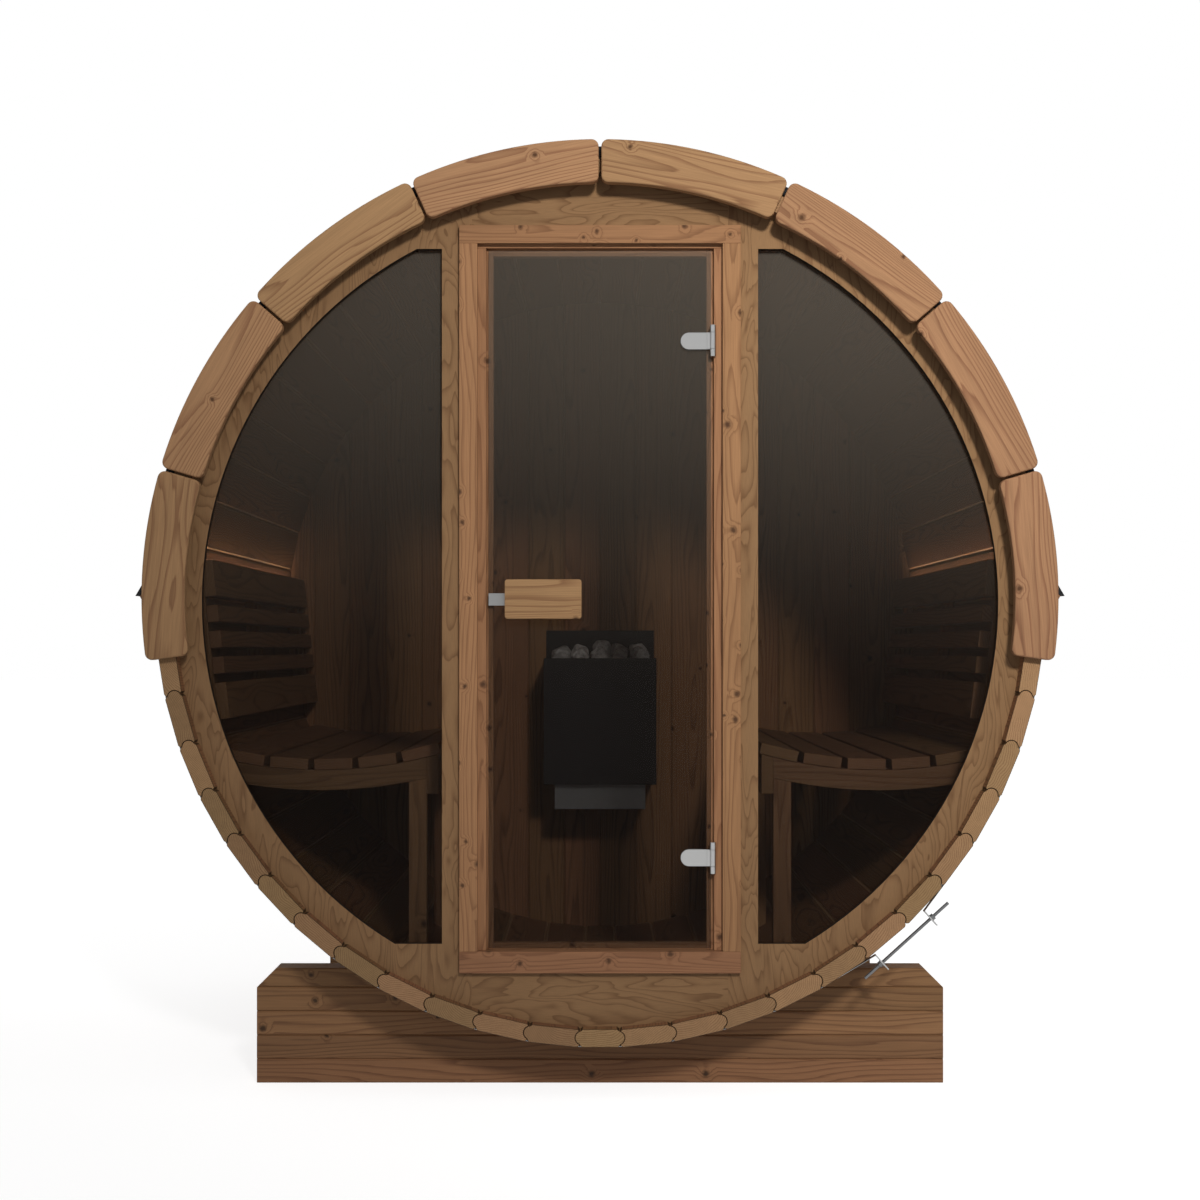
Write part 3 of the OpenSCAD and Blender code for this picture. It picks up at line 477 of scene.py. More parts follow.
# Nearly black and quite matt, with paler grains scattered through it
shingle = grit("bitumen shingle with mineral grit", "#0E0F10", "#3A3B3D")
for node in ("left_roof_covering", "right_roof_covering"):
    nodes[node].material_slots[0].material = shingle

# Tabs are set out flat, one unit of X to a course, then wrapped round the barrel
tree, given = new_growth("shingle courses", {
    "Courses": "Int", "Tabs": "Int", "Length": "Float", "Gap": "Float", "Start": "Float", "Course": "Float",
    "Radius": "Float", "Lap": "Float", "Thickness": "Float", "Side": "Float", "Axis": "Float", "Seed": "Int",
    "Material": "Material"})
per_row = add(tree, "ShaderNodeMath", {0: given["Tabs"], 1: 1}, operation="ADD").outputs[0]
count = add(tree, "ShaderNodeMath", {0: given["Courses"], 1: per_row}, operation="MULTIPLY").outputs[0]
index = add(tree, "GeometryNodeInputIndex").outputs[0]
middle = add(tree, "ShaderNodeMath", {0: index, 1: 0.5}, operation="ADD").outputs[0]
row = add(tree, "ShaderNodeMath", {0: middle, 1: per_row}, operation="DIVIDE").outputs[0]
row = add(tree, "ShaderNodeMath", {0: row}, operation="FLOOR").outputs[0]
column = add(tree, "ShaderNodeMath", {0: middle, 1: per_row}, operation="MODULO").outputs[0]
odd = add(tree, "ShaderNodeMath", {0: row, 1: 2}, operation="MODULO").outputs[0]
column = add(tree, "ShaderNodeMath", {0: odd, 1: -0.5, 2: column}, operation="MULTIPLY_ADD").outputs[0]
width = add(tree, "ShaderNodeMath", {0: given["Length"], 1: given["Tabs"]}, operation="DIVIDE").outputs[0]
half = add(tree, "ShaderNodeMath", {0: given["Length"], 1: 0.5}, operation="MULTIPLY").outputs[0]
back = add(tree, "ShaderNodeMath", {0: half, 1: -1}, operation="MULTIPLY").outputs[0]
along = add(tree, "ShaderNodeMath", {0: column, 1: width, 2: back}, operation="MULTIPLY_ADD").outputs[0]
up = add(tree, "ShaderNodeMath", {0: row, 1: 0.5}, operation="ADD").outputs[0]
place = add(tree, "ShaderNodeCombineXYZ", {0: up, 1: along, 2: 0.5}).outputs[0]
points = add(tree, "GeometryNodePoints", {"Count": count, "Position": place}).outputs[0]
where = add(tree, "ShaderNodeSeparateXYZ", {0: add(tree, "GeometryNodeInputPosition").outputs[0]})
spare = add(tree, "ShaderNodeMath", {0: where.outputs[1], 1: half}, operation="SUBTRACT").outputs[0]
spare = add(tree, "ShaderNodeMath", {0: spare, 1: 1 * MM}, operation="GREATER_THAN").outputs[0]
points = add(tree, "GeometryNodeDeleteGeometry", {"Geometry": points, "Selection": spare}).outputs[0]
tab = add(tree, "ShaderNodeMath", {0: width, 1: given["Gap"]}, operation="SUBTRACT").outputs[0]
size = add(tree, "ShaderNodeCombineXYZ", {0: 1, 1: tab, 2: 1}).outputs[0]
slab = add(tree, "GeometryNodeMeshCube", {"Size": size, "Vertices X": 6}).outputs[0]
part = add(tree, "ShaderNodeMath", {0: where.outputs[0], 1: 0.5}, operation="ADD").outputs[0]
slab = add(tree, "GeometryNodeStoreNamedAttribute",
           {"Geometry": slab, "Name": "part", "Value": part}).outputs[0]
tabs = add(tree, "GeometryNodeInstanceOnPoints", {"Points": points, "Instance": slab}).outputs[0]
shade = add(tree, "FunctionNodeRandomValue", {"Seed": given["Seed"]}).outputs[1]
tabs = add(tree, "GeometryNodeStoreNamedAttribute", {"Geometry": tabs, "Name": "board", "Value": shade},
           domain="INSTANCE").outputs[0]
flat = add(tree, "GeometryNodeRealizeInstances", {"Geometry": tabs}).outputs[0]
angle = add(tree, "ShaderNodeMath", {0: where.outputs[0], 1: given["Course"], 2: given["Start"]},
            operation="MULTIPLY_ADD").outputs[0]
part = add(tree, "GeometryNodeInputNamedAttribute", {"Name": "part"}).outputs[0]
rest = add(tree, "ShaderNodeMath", {0: 1, 1: part}, operation="SUBTRACT").outputs[0]
reach = add(tree, "ShaderNodeMath", {0: rest, 1: given["Lap"], 2: given["Radius"]},
            operation="MULTIPLY_ADD").outputs[0]
reach = add(tree, "ShaderNodeMath", {0: where.outputs[2], 1: given["Thickness"], 2: reach},
            operation="MULTIPLY_ADD").outputs[0]
cosine = add(tree, "ShaderNodeMath", {0: angle}, operation="COSINE").outputs[0]
sine = add(tree, "ShaderNodeMath", {0: angle}, operation="SINE").outputs[0]
out = add(tree, "ShaderNodeMath", {0: reach, 1: cosine}, operation="MULTIPLY").outputs[0]
out = add(tree, "ShaderNodeMath", {0: out, 1: given["Side"]}, operation="MULTIPLY").outputs[0]
rise = add(tree, "ShaderNodeMath", {0: reach, 1: sine, 2: given["Axis"]},
           operation="MULTIPLY_ADD").outputs[0]
trimmed = add(tree, "ShaderNodeMath", {0: where.outputs[1], 1: half}, operation="MINIMUM").outputs[0]
trimmed = add(tree, "ShaderNodeMath", {0: trimmed, 1: back}, operation="MAXIMUM").outputs[0]
# The order along the barrel turns with the side, so that faces point outwards on both
trimmed = add(tree, "ShaderNodeMath", {0: trimmed, 1: given["Side"]}, operation="MULTIPLY").outputs[0]
trimmed = add(tree, "ShaderNodeMath", {0: trimmed, 1: -1}, operation="MULTIPLY").outputs[0]
place = add(tree, "ShaderNodeCombineXYZ", {0: out, 1: trimmed, 2: rise}).outputs[0]
wrapped = add(tree, "GeometryNodeSetPosition", {"Geometry": flat, "Position": place}).outputs[0]
wrapped = add(tree, "GeometryNodeRealizeInstances", {"Geometry": wrapped}).outputs[0]
wrapped = add(tree, "GeometryNodeSetMaterial",
              {"Geometry": wrapped, "Material": given["Material"]}).outputs[0]
add(tree, "NodeGroupOutput", {0: wrapped})

felt_r = 1013.2 * MM
eaves_rise = 55 * MM
eaves_angle = math.asin(eaves_rise / felt_r)
courses = 10
roof = {"Courses": courses, "Tabs": 6, "Length": 1800 * MM, "Gap": 8 * MM, "Start": eaves_angle,
        "Course": (math.pi / 2 - eaves_angle) / courses, "Radius": felt_r - 0.5 * MM, "Lap": 8 * MM,
        "Thickness": 3.5 * MM, "Side": 1.0, "Axis": axis_z, "Seed": 3, "Material": shingle}
for side, name in ((1.0, "right"), (-1.0, "left")):
    tabs = grow(name + "_shingle_tabs", tree, {**roof, "Side": side, "Seed": 3 + int(side)})
    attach(tabs, nodes[name + "_roof_covering"]["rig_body"])
cap_angle = math.radians(14)
caps = grow("ridge_caps", tree, {
    **roof, "Courses": 1, "Tabs": 12, "Gap": 2 * MM, "Start": (math.pi - cap_angle) / 2, "Course": cap_angle,
    "Radius": felt_r + 3.3 * MM, "Lap": 0.0, "Thickness": 8 * MM})
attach(caps, nodes["right_roof_covering"]["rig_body"])

# Straps and tensioners
# Bands of stainless sheet round the barrel; their ends are bent out into lugs on the right.
# A threaded rod with a nut and washer outside each lug draws the band tight.


def steel(name, colour, roughness):
    """Steel rubbed along its length. The scratches are 1.1 mm apart, coarser than real ones, so they show."""
    material, tree, shader = new_material(name)
    at = add(tree, "ShaderNodeTexCoord").outputs["Object"]
    scratch = streaks(tree, at, (16, 16, 1.1), 3)["Fac"]
    surface(tree, shader, scratch, (roughness - 0.08, roughness + 0.1), scratch, 0.15, 0.1)
    shader.inputs["Base Color"].default_value = linear(colour)
    shader.inputs["Metallic"].default_value = 1.0
    return material


# Satin stainless sheet: an even, soft grey shine
satin_steel = steel("satin stainless steel", "#C4C4C3", 0.38)
# Threaded rod: darker than the straps, as a painted reflection of dark surroundings, and sharper, so that the
# thread stands out
# Its darker base colour is a painted reflection of dark surroundings
rod_steel_with_painted_reflection = steel("threaded rod with painted dark reflection", "#808182", 0.32)
for node in ("front_strap", "rear_strap"):
    nodes[node].material_slots[0].material = satin_steel

# The thread is drawn with a 2.5 mm pitch, twice the real one, so that it shows
tree, given = new_growth("threaded rod", {
    "Length": "Float", "Radius": "Float", "Pitch": "Float", "Depth": "Float", "Lugs": "Float",
    "Nut": "Float", "Nut height": "Float", "Washer": "Float", "Washer thickness": "Float",
    "Lean": "Vector", "Centre": "Vector", "Material": "Material"})
rings = add(tree, "ShaderNodeMath", {0: given["Length"], 1: given["Pitch"]}, operation="DIVIDE").outputs[0]
rings = add(tree, "ShaderNodeMath", {0: rings, 1: 6}, operation="MULTIPLY").outputs[0]
rod = add(tree, "GeometryNodeMeshCylinder", {"Vertices": 20, "Side Segments": rings,
                                             "Radius": given["Radius"],
                                             "Depth": given["Length"]}).outputs[0]
spot = add(tree, "GeometryNodeInputPosition").outputs[0]
where = add(tree, "ShaderNodeSeparateXYZ", {0: spot})
turn = add(tree, "ShaderNodeMath", {0: where.outputs[1], 1: where.outputs[0]},
           operation="ARCTAN2").outputs[0]
turn = add(tree, "ShaderNodeMath", {0: turn, 1: math.tau}, operation="DIVIDE").outputs[0]
climb = add(tree, "ShaderNodeMath", {0: where.outputs[2], 1: given["Pitch"]}, operation="DIVIDE").outputs[0]
climb = add(tree, "ShaderNodeMath", {0: climb, 1: turn}, operation="SUBTRACT").outputs[0]
groove = add(tree, "ShaderNodeMath", {0: climb, 1: 0.5}, operation="PINGPONG").outputs[0]
deep = add(tree, "ShaderNodeMath", {0: given["Depth"], 1: given["Radius"]}, operation="DIVIDE").outputs[0]
groove = add(tree, "ShaderNodeMath", {0: groove, 1: deep}, operation="MULTIPLY").outputs[0]
slim = add(tree, "ShaderNodeMath", {0: 1, 1: groove}, operation="SUBTRACT").outputs[0]
slim = add(tree, "ShaderNodeCombineXYZ", {0: slim, 1: slim, 2: 1}).outputs[0]
place = add(tree, "ShaderNodeVectorMath", {0: spot, 1: slim}, operation="MULTIPLY").outputs[0]
rod = add(tree, "GeometryNodeSetPosition", {"Geometry": rod, "Position": place}).outputs[0]
ends = add(tree, "ShaderNodeMath", {0: add(tree, "GeometryNodeInputIndex").outputs[0], 1: 2, 2: -1},
           operation="MULTIPLY_ADD").outputs[0]
lug = add(tree, "ShaderNodeMath", {0: given["Lugs"], 1: 0.5}, operation="MULTIPLY").outputs[0]
washer_at = add(tree, "ShaderNodeMath", {0: given["Washer thickness"], 1: 0.5, 2: lug},
                operation="MULTIPLY_ADD").outputs[0]
nut_at = add(tree, "ShaderNodeMath", {0: given["Nut height"], 1: 0.5, 2: lug},
             operation="MULTIPLY_ADD").outputs[0]
nut_at = add(tree, "ShaderNodeMath", {0: nut_at, 1: given["Washer thickness"]}, operation="ADD").outputs[0]
nut = add(tree, "GeometryNodeMeshCylinder", {"Vertices": 6, "Radius": given["Nut"],
                                             "Depth": given["Nut height"]}).outputs[0]
washer = add(tree, "GeometryNodeMeshCylinder", {"Vertices": 32, "Radius": given["Washer"],
                                                "Depth": given["Washer thickness"]}).outputs[0]
joined = add(tree, "GeometryNodeJoinGeometry")
tree.links.new(rod, joined.inputs[0])
for body, at in ((nut, nut_at), (washer, washer_at)):
    height = add(tree, "ShaderNodeMath", {0: ends, 1: at}, operation="MULTIPLY").outputs[0]
    place = add(tree, "ShaderNodeCombineXYZ", {2: height}).outputs[0]
    pair = add(tree, "GeometryNodePoints", {"Count": 2, "Position": place}).outputs[0]
    pair = add(tree, "GeometryNodeInstanceOnPoints", {"Points": pair, "Instance": body}).outputs[0]
    tree.links.new(pair, joined.inputs[0])
leant = add(tree, "GeometryNodeTransform", {"Geometry": joined.outputs[0], "Rotation": given["Lean"],
                                            "Translation": given["Centre"]}).outputs[0]
leant = add(tree, "GeometryNodeRealizeInstances", {"Geometry": leant}).outputs[0]
leant = add(tree, "GeometryNodeSetMaterial", {"Geometry": leant, "Material": given["Material"]}).outputs[0]
add(tree, "NodeGroupOutput", {0: leant})
for node in ("front_tensioner", "rear_tensioner"):
    low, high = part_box(node)
    rod = grow(node + ".finished", tree, {
        "Length": 254 * MM, "Radius": 4 * MM, "Pitch": 2.5 * MM, "Depth": 1.2 * MM, "Lugs": 150 * MM,
        "Nut": 7.5 * MM, "Nut height": 6.5 * MM, "Washer": 8.5 * MM, "Washer thickness": 1.6 * MM,
        "Lean": (0.0, math.radians(47.8), 0.0), "Centre": (low + high) / 2, "Material": rod_steel_with_painted_reflection})
    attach(rod, nodes[node]["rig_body"])
    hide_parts(node)

# Cradles
# Two stacks of pine boards, stained dark and hollowed to the barrel, with V-joints between the boards.
# The barrel lies in them by its own weight. Battens of the same pine lift the eaves of the shingles.

# Stain sinks into the soft wood: brown, with knots that turn nearly black
stained_pine = timber("dark stained pine", "#99724F", "#7A573C", "#2E1F15", ring=4.5, knots=0.42, cell=140)
for node in ("front_cradle", "rear_cradle"):
    eased(node, ACROSS, -ALONG, stained_pine)
eased("eaves_battens", ALONG, UPRIGHT, stained_pine, ease=1)

# Door casing and jambs
# A planed spruce lining round the doorway with a stop for the glass, and flat casing boards nailed over it.
# The two handles are blocks of the trim's spruce, screwed together through the glass.

# Narrow boards from the branchy top of the log: warm brown with many dark round knots
casing_spruce = timber("heat-treated spruce casing", "#A67A56", "#8A6244", "#4A3122", ring=4, knots=0.75,
                       cell=85)
for node in ("door_casing_head", "door_casing_rail", "door_jamb_head", "door_jamb_sill"):
    eased(node, ACROSS, -ALONG, casing_spruce, ease=1.2)
for node in ("door_casing_stiles", "door_jamb_sides"):
    eased(node, UPRIGHT, -ALONG, casing_spruce, ease=1.2)
for node in ("outer_door_handle", "inner_door_handle"):
    eased(node, ACROSS, -ALONG, trim_spruce, ease=2, segments=3)

# Door fittings
# Pressed stainless hinges, with leaves clamped to the glass and knuckles screwed to the jamb.
# A flat latch plate behind the handle catches on the other jamb.
for node in ("door_hinge_leaves", "hinge_knuckles"):
    eased(node, ACROSS, -ALONG, satin_steel, ease=0.6)
# Brushed plate: duller than the hinges, and a little darker, which is painted shade
# The darker grey stands for the shade behind the handle
plate_steel_painted_shade = steel("stainless plate with painted shade", "#A2A2A1", 0.42)
eased("door_latch_plate", ACROSS, -ALONG, plate_steel_painted_shade, ease=0.6)

# Benches and backrests
# Aspen slats with eased edges, screwed to curved joists on legs, with a fascia along the aisle.
# Leaning backrests of the same slats stand behind, on battens cut to the staves.

# Aspen has wide faint rings, hardly a knot and no resin: a soft, even brown
aspen = timber("heat-treated aspen", "#8C6748", "#6B4B33", "#3A2619", ring=6, knots=0.15, cell=200,
               contrast=0.8)
for node in ("left_bench_slats", "right_bench_slats"):
    eased(node, ALONG, UPRIGHT, aspen, ease=2)
eased("bench_fascias", ALONG, ACROSS, aspen, ease=2)
eased("bench_joists", ACROSS, -ALONG, aspen, ease=1)
eased("bench_legs", UPRIGHT, -ALONG, aspen, ease=1)
for node in ("left_backrest_slats", "right_backrest_slats"):
    eased(node, ALONG, ACROSS, aspen, ease=2)
eased("backrest_battens", UPRIGHT, -ALONG, aspen, ease=1)

# Light strips
# Warm strips in steel channels let into the backrest battens, hidden from the aisle by the top slats.
# They are taken from the warm light on the staves above both backrests, and only their glow shows.

# A milky cover over small lamps: warm white, and seen only by its light
material, tree, shader = new_material("warm light strip")
at = add(tree, "ShaderNodeTexCoord").outputs["Object"]
lamps = add(tree, "ShaderNodeTexNoise", {"Vector": at, "Scale": 1 / (16 * MM)}).outputs["Fac"]
rough = add(tree, "ShaderNodeMapRange", {"Value": lamps, 3: 0.35, 4: 0.55}).outputs[0]
tree.links.new(rough, shader.inputs["Roughness"])
shader.inputs["Base Color"].default_value = linear("#F2E2C8")
shader.inputs["Emission Color"].default_value = linear("#FFDEBA")
shader.inputs["Emission Strength"].default_value = 22.0
low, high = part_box("right_backrest_slats")
lean = math.radians(6.4)
slat_t = 27 * MM
slats_h = (high.z - low.z - slat_t * math.sin(lean)) / math.cos(lean)
behind_slats = 7 * MM
cover_w, cover_t, cover_drop = 10 * MM, 2 * MM, 39 * MM
channel_w, channel_t, channel_drop = 12 * MM, 8 * MM, 44 * MM
strips = bmesh.new()
for side in (-1, 1):
    outwards = Vector((side * math.cos(lean), 0, -math.sin(lean)))
    upwards = Vector((side * math.sin(lean), 0, math.cos(lean)))
    foot = Vector((side * low.x, (low.y + high.y) / 2, high.z - slats_h * math.cos(lean)))
    for part, wide, tall, drop in ((0, cover_w, cover_t, cover_drop),
                                   (1, channel_w, channel_t, channel_drop)):
        middle = foot + outwards * (slat_t + behind_slats) + upwards * (slats_h - drop)
        turn = Matrix((outwards * wide, ALONG * (high.y - low.y), upwards * tall)).transposed().to_4x4()
        bmesh.ops.create_cube(strips, size=1, matrix=Matrix.Translation(middle) @ turn)
        strips.faces.ensure_lookup_table()
        for face in strips.faces[-6:]:
            face.material_index = part
bmesh.ops.recalc_face_normals(strips, faces=strips.faces)
strips.normal_update()
for face in strips.faces:
    # Steel caps close both ends
    if abs(face.normal.y) > 0.5:
        face.material_index = 1
piece = to_piece("light_strips", strips, material, satin_steel)
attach(piece, nodes["backrest_battens"]["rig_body"])

# Heater
# A folded steel box with a matt black coating, hung on a wall plate over a bare galvanised base.
# Split stones are heaped inside and rise a little towards the wall.


def coated(name, colour, roughness, metallic, grain, relief):
    """Sheet steel with an even skin, mottled at the given grain in millimetres."""
    material, tree, shader = new_material(name)
    at = add(tree, "ShaderNodeTexCoord").outputs["Object"]
    mottle = add(tree, "ShaderNodeTexNoise",
                 {"Vector": at, "Scale": 1 / (grain * MM), "Detail": 3}).outputs["Fac"]
    tone = add(tree, "ShaderNodeMapRange", {"Value": mottle, 3: 0.85, 4: 1.15}).outputs[0]
    shade = add(tree, "ShaderNodeHueSaturation", {"Value": tone, "Color": linear(colour)}).outputs[0]
    tree.links.new(shade, shader.inputs["Base Color"])
    surface(tree, shader, mottle, (roughness - 0.08, roughness + 0.08), mottle, relief, 0.3)
    shader.inputs["Metallic"].default_value = metallic
    return material


# Stove paint: nearly black, with a fine orange-peel that breaks up its sheen
black_coat = coated("matt black coated steel", "#1A1818", 0.55, 0.0, 3, 0.3)
# Bare zinc: cloudy grey with a dull shine
galvanised = coated("galvanised sheet steel", "#8E8C8A", 0.5, 0.6, 14, 0.1)
for node in ("heater_shell", "heater_wall_plate"):
    eased(node, UPRIGHT, -ALONG, black_coat, ease=0.8)
eased("heater_base", UPRIGHT, -ALONG, galvanised, ease=0.8)


def rock(name, dark, pale):
    """Split igneous stone: cloudy greys with fine pale crystals, drawn 3 mm wide, coarser than real ones."""
    material, tree, shader = new_material(name)
    at = add(tree, "ShaderNodeTexCoord").outputs["Object"]
    board = add(tree, "ShaderNodeAttribute", attribute_name="board").outputs["Fac"]
    cloud = add(tree, "ShaderNodeTexNoise",
                {"Vector": at, "Scale": 1 / (22 * MM), "Detail": 5}).outputs["Fac"]
    speck = add(tree, "ShaderNodeTexVoronoi", {"Vector": at, "Scale": 1 / (3 * MM)}).outputs["Distance"]
    mixed = add(tree, "ShaderNodeMath", {0: speck, 1: 0.4, 2: cloud}, operation="MULTIPLY_ADD").outputs[0]
    mixed = add(tree, "ShaderNodeMapRange", {"Value": mixed, 1: 0.4, 2: 0.9}).outputs[0]
    colour = add(tree, "ShaderNodeMix", {0: mixed, 6: linear(dark), 7: linear(pale)},
                 data_type="RGBA").outputs[2]
    tone = add(tree, "ShaderNodeMapRange", {"Value": board, 3: 0.75, 4: 1.25}).outputs[0]
    colour = add(tree, "ShaderNodeHueSaturation", {"Value": tone, "Color": colour}).outputs[0]
    tree.links.new(colour, shader.inputs["Base Color"])
    surface(tree, shader, cloud, (0.7, 0.95), mixed, 0.5, 2)
    return material


# Rough mid-grey stone with paler crystals, each stone a little lighter or darker
heater_rock = rock("split heater stone", "#6B6763", "#B9B3AC")
tree, given = new_growth("heap of stones", {
    "Across": "Int", "Deep": "Int", "Layers": "Int", "Low": "Vector", "Span": "Vector", "Rise": "Float",
    "Jitter": "Float", "Radius": "Float", "Rough": "Float", "Seed": "Int", "Material": "Material"})
index = add(tree, "GeometryNodeInputIndex").outputs[0]
middle = add(tree, "ShaderNodeMath", {0: index, 1: 0.5}, operation="ADD").outputs[0]
layer_of = add(tree, "ShaderNodeMath", {0: given["Across"], 1: given["Deep"]},
               operation="MULTIPLY").outputs[0]
count = add(tree, "ShaderNodeMath", {0: layer_of, 1: given["Layers"]}, operation="MULTIPLY").outputs[0]
column = add(tree, "ShaderNodeMath", {0: middle, 1: given["Across"]}, operation="MODULO").outputs[0]
column = add(tree, "ShaderNodeMath", {0: column, 1: given["Across"]}, operation="DIVIDE").outputs[0]
within = add(tree, "ShaderNodeMath", {0: middle, 1: layer_of}, operation="MODULO").outputs[0]
line = add(tree, "ShaderNodeMath", {0: within, 1: given["Across"]}, operation="DIVIDE").outputs[0]
line = add(tree, "ShaderNodeMath", {0: line}, operation="FLOOR").outputs[0]
line = add(tree, "ShaderNodeMath", {0: line, 1: 0.5}, operation="ADD").outputs[0]
line = add(tree, "ShaderNodeMath", {0: line, 1: given["Deep"]}, operation="DIVIDE").outputs[0]
layer = add(tree, "ShaderNodeMath", {0: middle, 1: count}, operation="DIVIDE").outputs[0]
share = add(tree, "ShaderNodeCombineXYZ", {0: column, 1: line, 2: layer}).outputs[0]
place = add(tree, "ShaderNodeVectorMath", {0: share, 1: given["Span"], 2: given["Low"]},
            operation="MULTIPLY_ADD").outputs[0]
lift = add(tree, "ShaderNodeMath", {0: line, 1: given["Rise"]}, operation="MULTIPLY").outputs[0]
lift = add(tree, "ShaderNodeCombineXYZ", {2: lift}).outputs[0]
place = add(tree, "ShaderNodeVectorMath", {0: place, 1: lift}, operation="ADD").outputs[0]
stray = add(tree, "FunctionNodeRandomValue", {0: (-1, -1, -1), 1: (1, 1, 1), "Seed": given["Seed"]},
            data_type="FLOAT_VECTOR").outputs[0]
stray = add(tree, "ShaderNodeVectorMath", {0: stray, "Scale": given["Jitter"]}, operation="SCALE").outputs[0]
place = add(tree, "ShaderNodeVectorMath", {0: place, 1: stray}, operation="ADD").outputs[0]
points = add(tree, "GeometryNodePoints", {"Count": count, "Position": place}).outputs[0]
stone = add(tree, "GeometryNodeMeshIcoSphere", {"Radius": given["Radius"], "Subdivisions": 3}).outputs[0]
turn = add(tree, "FunctionNodeRandomValue", {0: (0, 0, 0), 1: (6.28, 6.28, 6.28), "Seed": given["Seed"]},
           data_type="FLOAT_VECTOR").outputs[0]
scale = add(tree, "FunctionNodeRandomValue",
            {0: (0.75, 0.7, 0.65), 1: (1.15, 1.1, 0.95), "Seed": given["Seed"]},
            data_type="FLOAT_VECTOR").outputs[0]
heap = add(tree, "GeometryNodeInstanceOnPoints", {"Points": points, "Instance": stone, "Rotation": turn,
                                                  "Scale": scale}).outputs[0]
shade = add(tree, "FunctionNodeRandomValue", {"Seed": given["Seed"]}).outputs[1]
heap = add(tree, "GeometryNodeStoreNamedAttribute", {"Geometry": heap, "Name": "board", "Value": shade},
           domain="INSTANCE").outputs[0]
heap = add(tree, "GeometryNodeRealizeInstances", {"Geometry": heap}).outputs[0]
at = add(tree, "GeometryNodeInputPosition").outputs[0]
lumps = add(tree, "ShaderNodeTexVoronoi", {"Vector": at, "Scale": 1 / (24 * MM)}).outputs["Distance"]
lumps = add(tree, "ShaderNodeMath", {0: lumps, 1: 0.5}, operation="SUBTRACT").outputs[0]
lumps = add(tree, "ShaderNodeMath", {0: lumps, 1: given["Rough"]}, operation="MULTIPLY").outputs[0]
push = add(tree, "ShaderNodeVectorMath",
           {0: add(tree, "GeometryNodeInputNormal").outputs[0], "Scale": lumps},
           operation="SCALE").outputs[0]
heap = add(tree, "GeometryNodeSetPosition", {"Geometry": heap, "Offset": push}).outputs[0]
heap = add(tree, "GeometryNodeRealizeInstances", {"Geometry": heap}).outputs[0]
heap = add(tree, "GeometryNodeSetMaterial", {"Geometry": heap, "Material": given["Material"]}).outputs[0]
add(tree, "NodeGroupOutput", {0: heap})
low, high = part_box("heater_stones")
stone_r = 30 * MM
inset = Vector((0.5 * stone_r, 0.5 * stone_r, 0))
heap_h = 110 * MM
heap_low = Vector((low.x, low.y, high.z - heap_h - 0.7 * stone_r)) + inset
heap_span = Vector((high.x - low.x, high.y - low.y, heap_h)) - 2 * inset
heap = grow("heater_stones.finished", tree, {
    "Across": 5, "Deep": 4, "Layers": 3, "Low": heap_low, "Span": heap_span, "Rise": 14 * MM,
    "Jitter": 6 * MM, "Radius": stone_r, "Rough": 18 * MM, "Seed": 5, "Material": heater_rock})
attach(heap, nodes["heater_stones"]["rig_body"])
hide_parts("heater_stones")

# Stage
# A white studio floor under even light from all round, with one soft key lamp high on the right.
# The camera stands straight in front of the door, with a level lens.


def in_view(tree):
    """1 for rays from the lens, also through glass, less for those off metal, 0 for light on the object."""
    mirror_share = 0.7
    path = add(tree, "ShaderNodeLightPath").outputs
    seen = add(tree, "ShaderNodeMath", {0: path["Is Camera Ray"], 1: path["Is Transmission Ray"]},
               operation="MAXIMUM").outputs[0]
    mirrored = add(tree, "ShaderNodeMath", {0: path["Is Glossy Ray"], 1: mirror_share},
                   operation="MULTIPLY").outputs[0]
    return add(tree, "ShaderNodeMath", {0: seen, 1: mirrored}, operation="MAXIMUM").outputs[0]


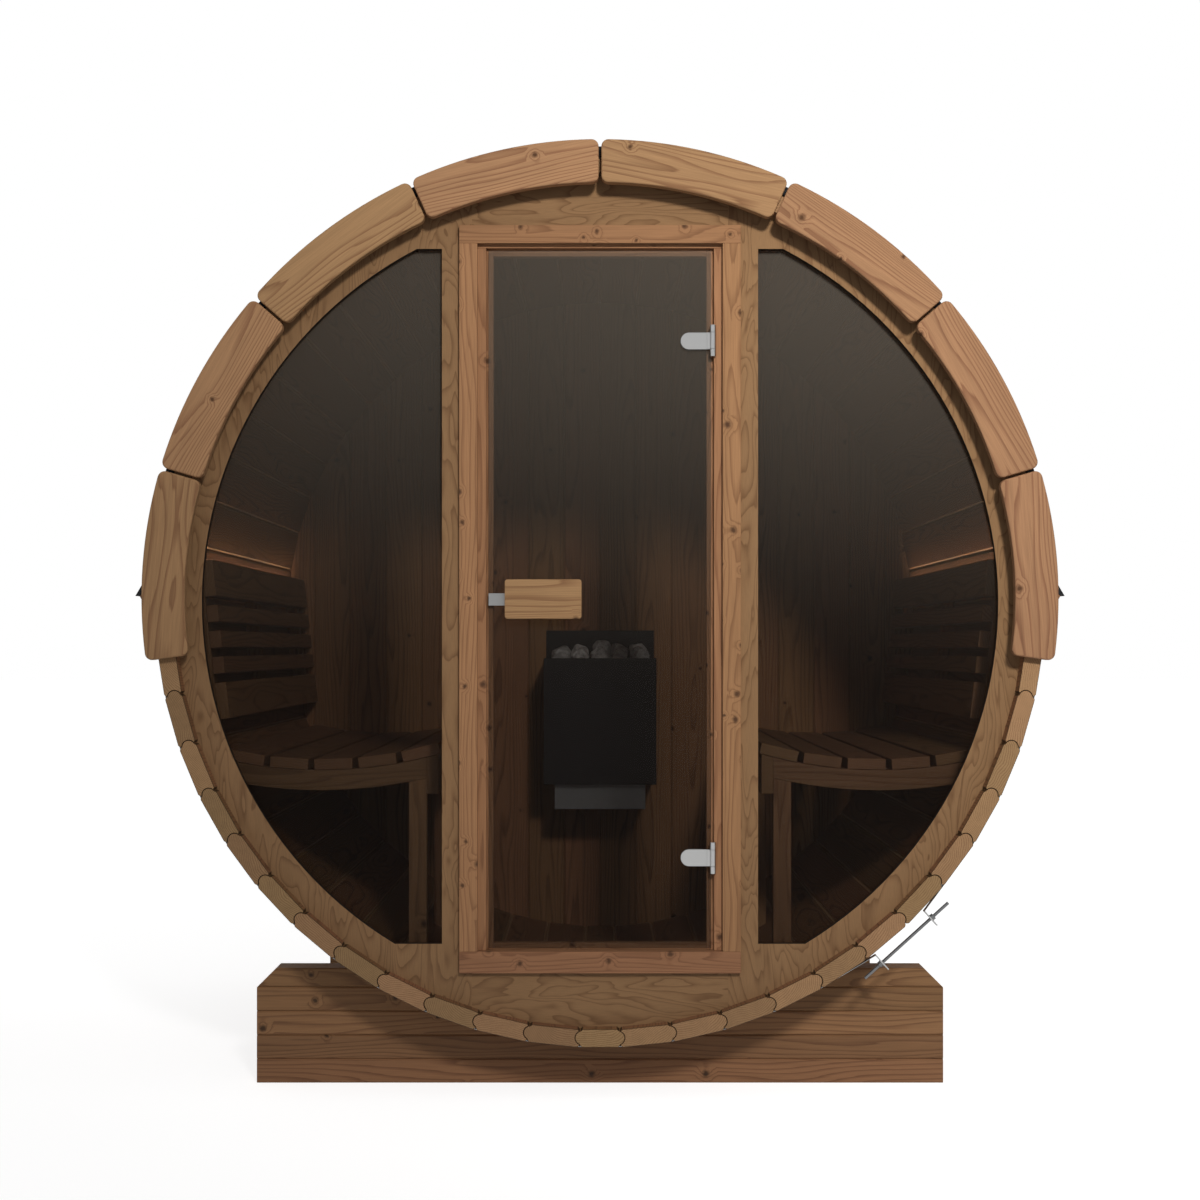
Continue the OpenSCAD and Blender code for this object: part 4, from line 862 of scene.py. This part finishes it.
# Matt white paint, lifted to the white of the backdrop, so that only the cabin's shadow shows on it
material, tree, shader = new_material("white studio floor")
shader.inputs["Base Color"].default_value = linear("#E6E6E6")
shader.inputs["Roughness"].default_value = 0.9
shader.inputs["Emission Color"].default_value = linear("#FFFFFF")
floor_lift = 0.76
glow = add(tree, "ShaderNodeMath", {0: in_view(tree), 1: floor_lift}, operation="MULTIPLY").outputs[0]
tree.links.new(glow, shader.inputs["Emission Strength"])
floor_half = 60.0
corners = [(-floor_half, -floor_half, 0), (floor_half, -floor_half, 0),
           (floor_half, floor_half, 0), (-floor_half, floor_half, 0)]
floor_mesh = bpy.data.meshes.new("floor")
floor_mesh.from_pydata(corners, [], [(0, 1, 2, 3)])
floor_mesh.materials.append(material)
floor = bpy.data.objects.new("floor", floor_mesh)
bpy.context.scene.collection.objects.link(floor)

# The world is white where it is seen, and lights the object at a plain level
world_light, world_white = 0.28, 1.0
world = bpy.data.worlds.new("studio")
bpy.context.scene.world = world
world.use_nodes = True
tree = world.node_tree
level = add(tree, "ShaderNodeMapRange", {"Value": in_view(tree), 3: world_light, 4: world_white}).outputs[0]
backdrop = tree.nodes["Background"]
backdrop.inputs["Color"].default_value = linear("#FFFFFF")
tree.links.new(level, backdrop.inputs["Strength"])

key_at = Vector((1.3, -7.35, 4.0))
key_aim = Vector((1.0, -0.9, 2.1))
lamp = bpy.data.lights.new("key lamp", "AREA")
lamp.shape = "DISK"
lamp.size = 0.8
lamp.spread = math.radians(46)
lamp.energy = 31
key = bpy.data.objects.new("key lamp", lamp)
key.location = key_at
key.rotation_euler = (key_aim - key_at).to_track_quat("-Z", "Y").to_euler()
key.visible_glossy = False
bpy.context.scene.collection.objects.link(key)

# The lens is level, a little below the barrel's axis; the frame is shifted up to centre the cabin
lens_distance = 4.63
lens_drop = 0.103
camera_data = bpy.data.cameras.new("camera")
camera_data.sensor_width = 36
camera_data.lens = 62.2
camera_data.shift_y = 0.04
camera_data.clip_end = 200
camera = bpy.data.objects.new("camera", camera_data)
camera.location = (0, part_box("front_trim_boards")[0].y - lens_distance, axis_z - lens_drop)
camera.rotation_euler = (math.radians(90), 0, 0)
bpy.context.scene.collection.objects.link(camera)
bpy.context.scene.camera = camera
bpy.context.scene.view_settings.view_transform = "Standard"
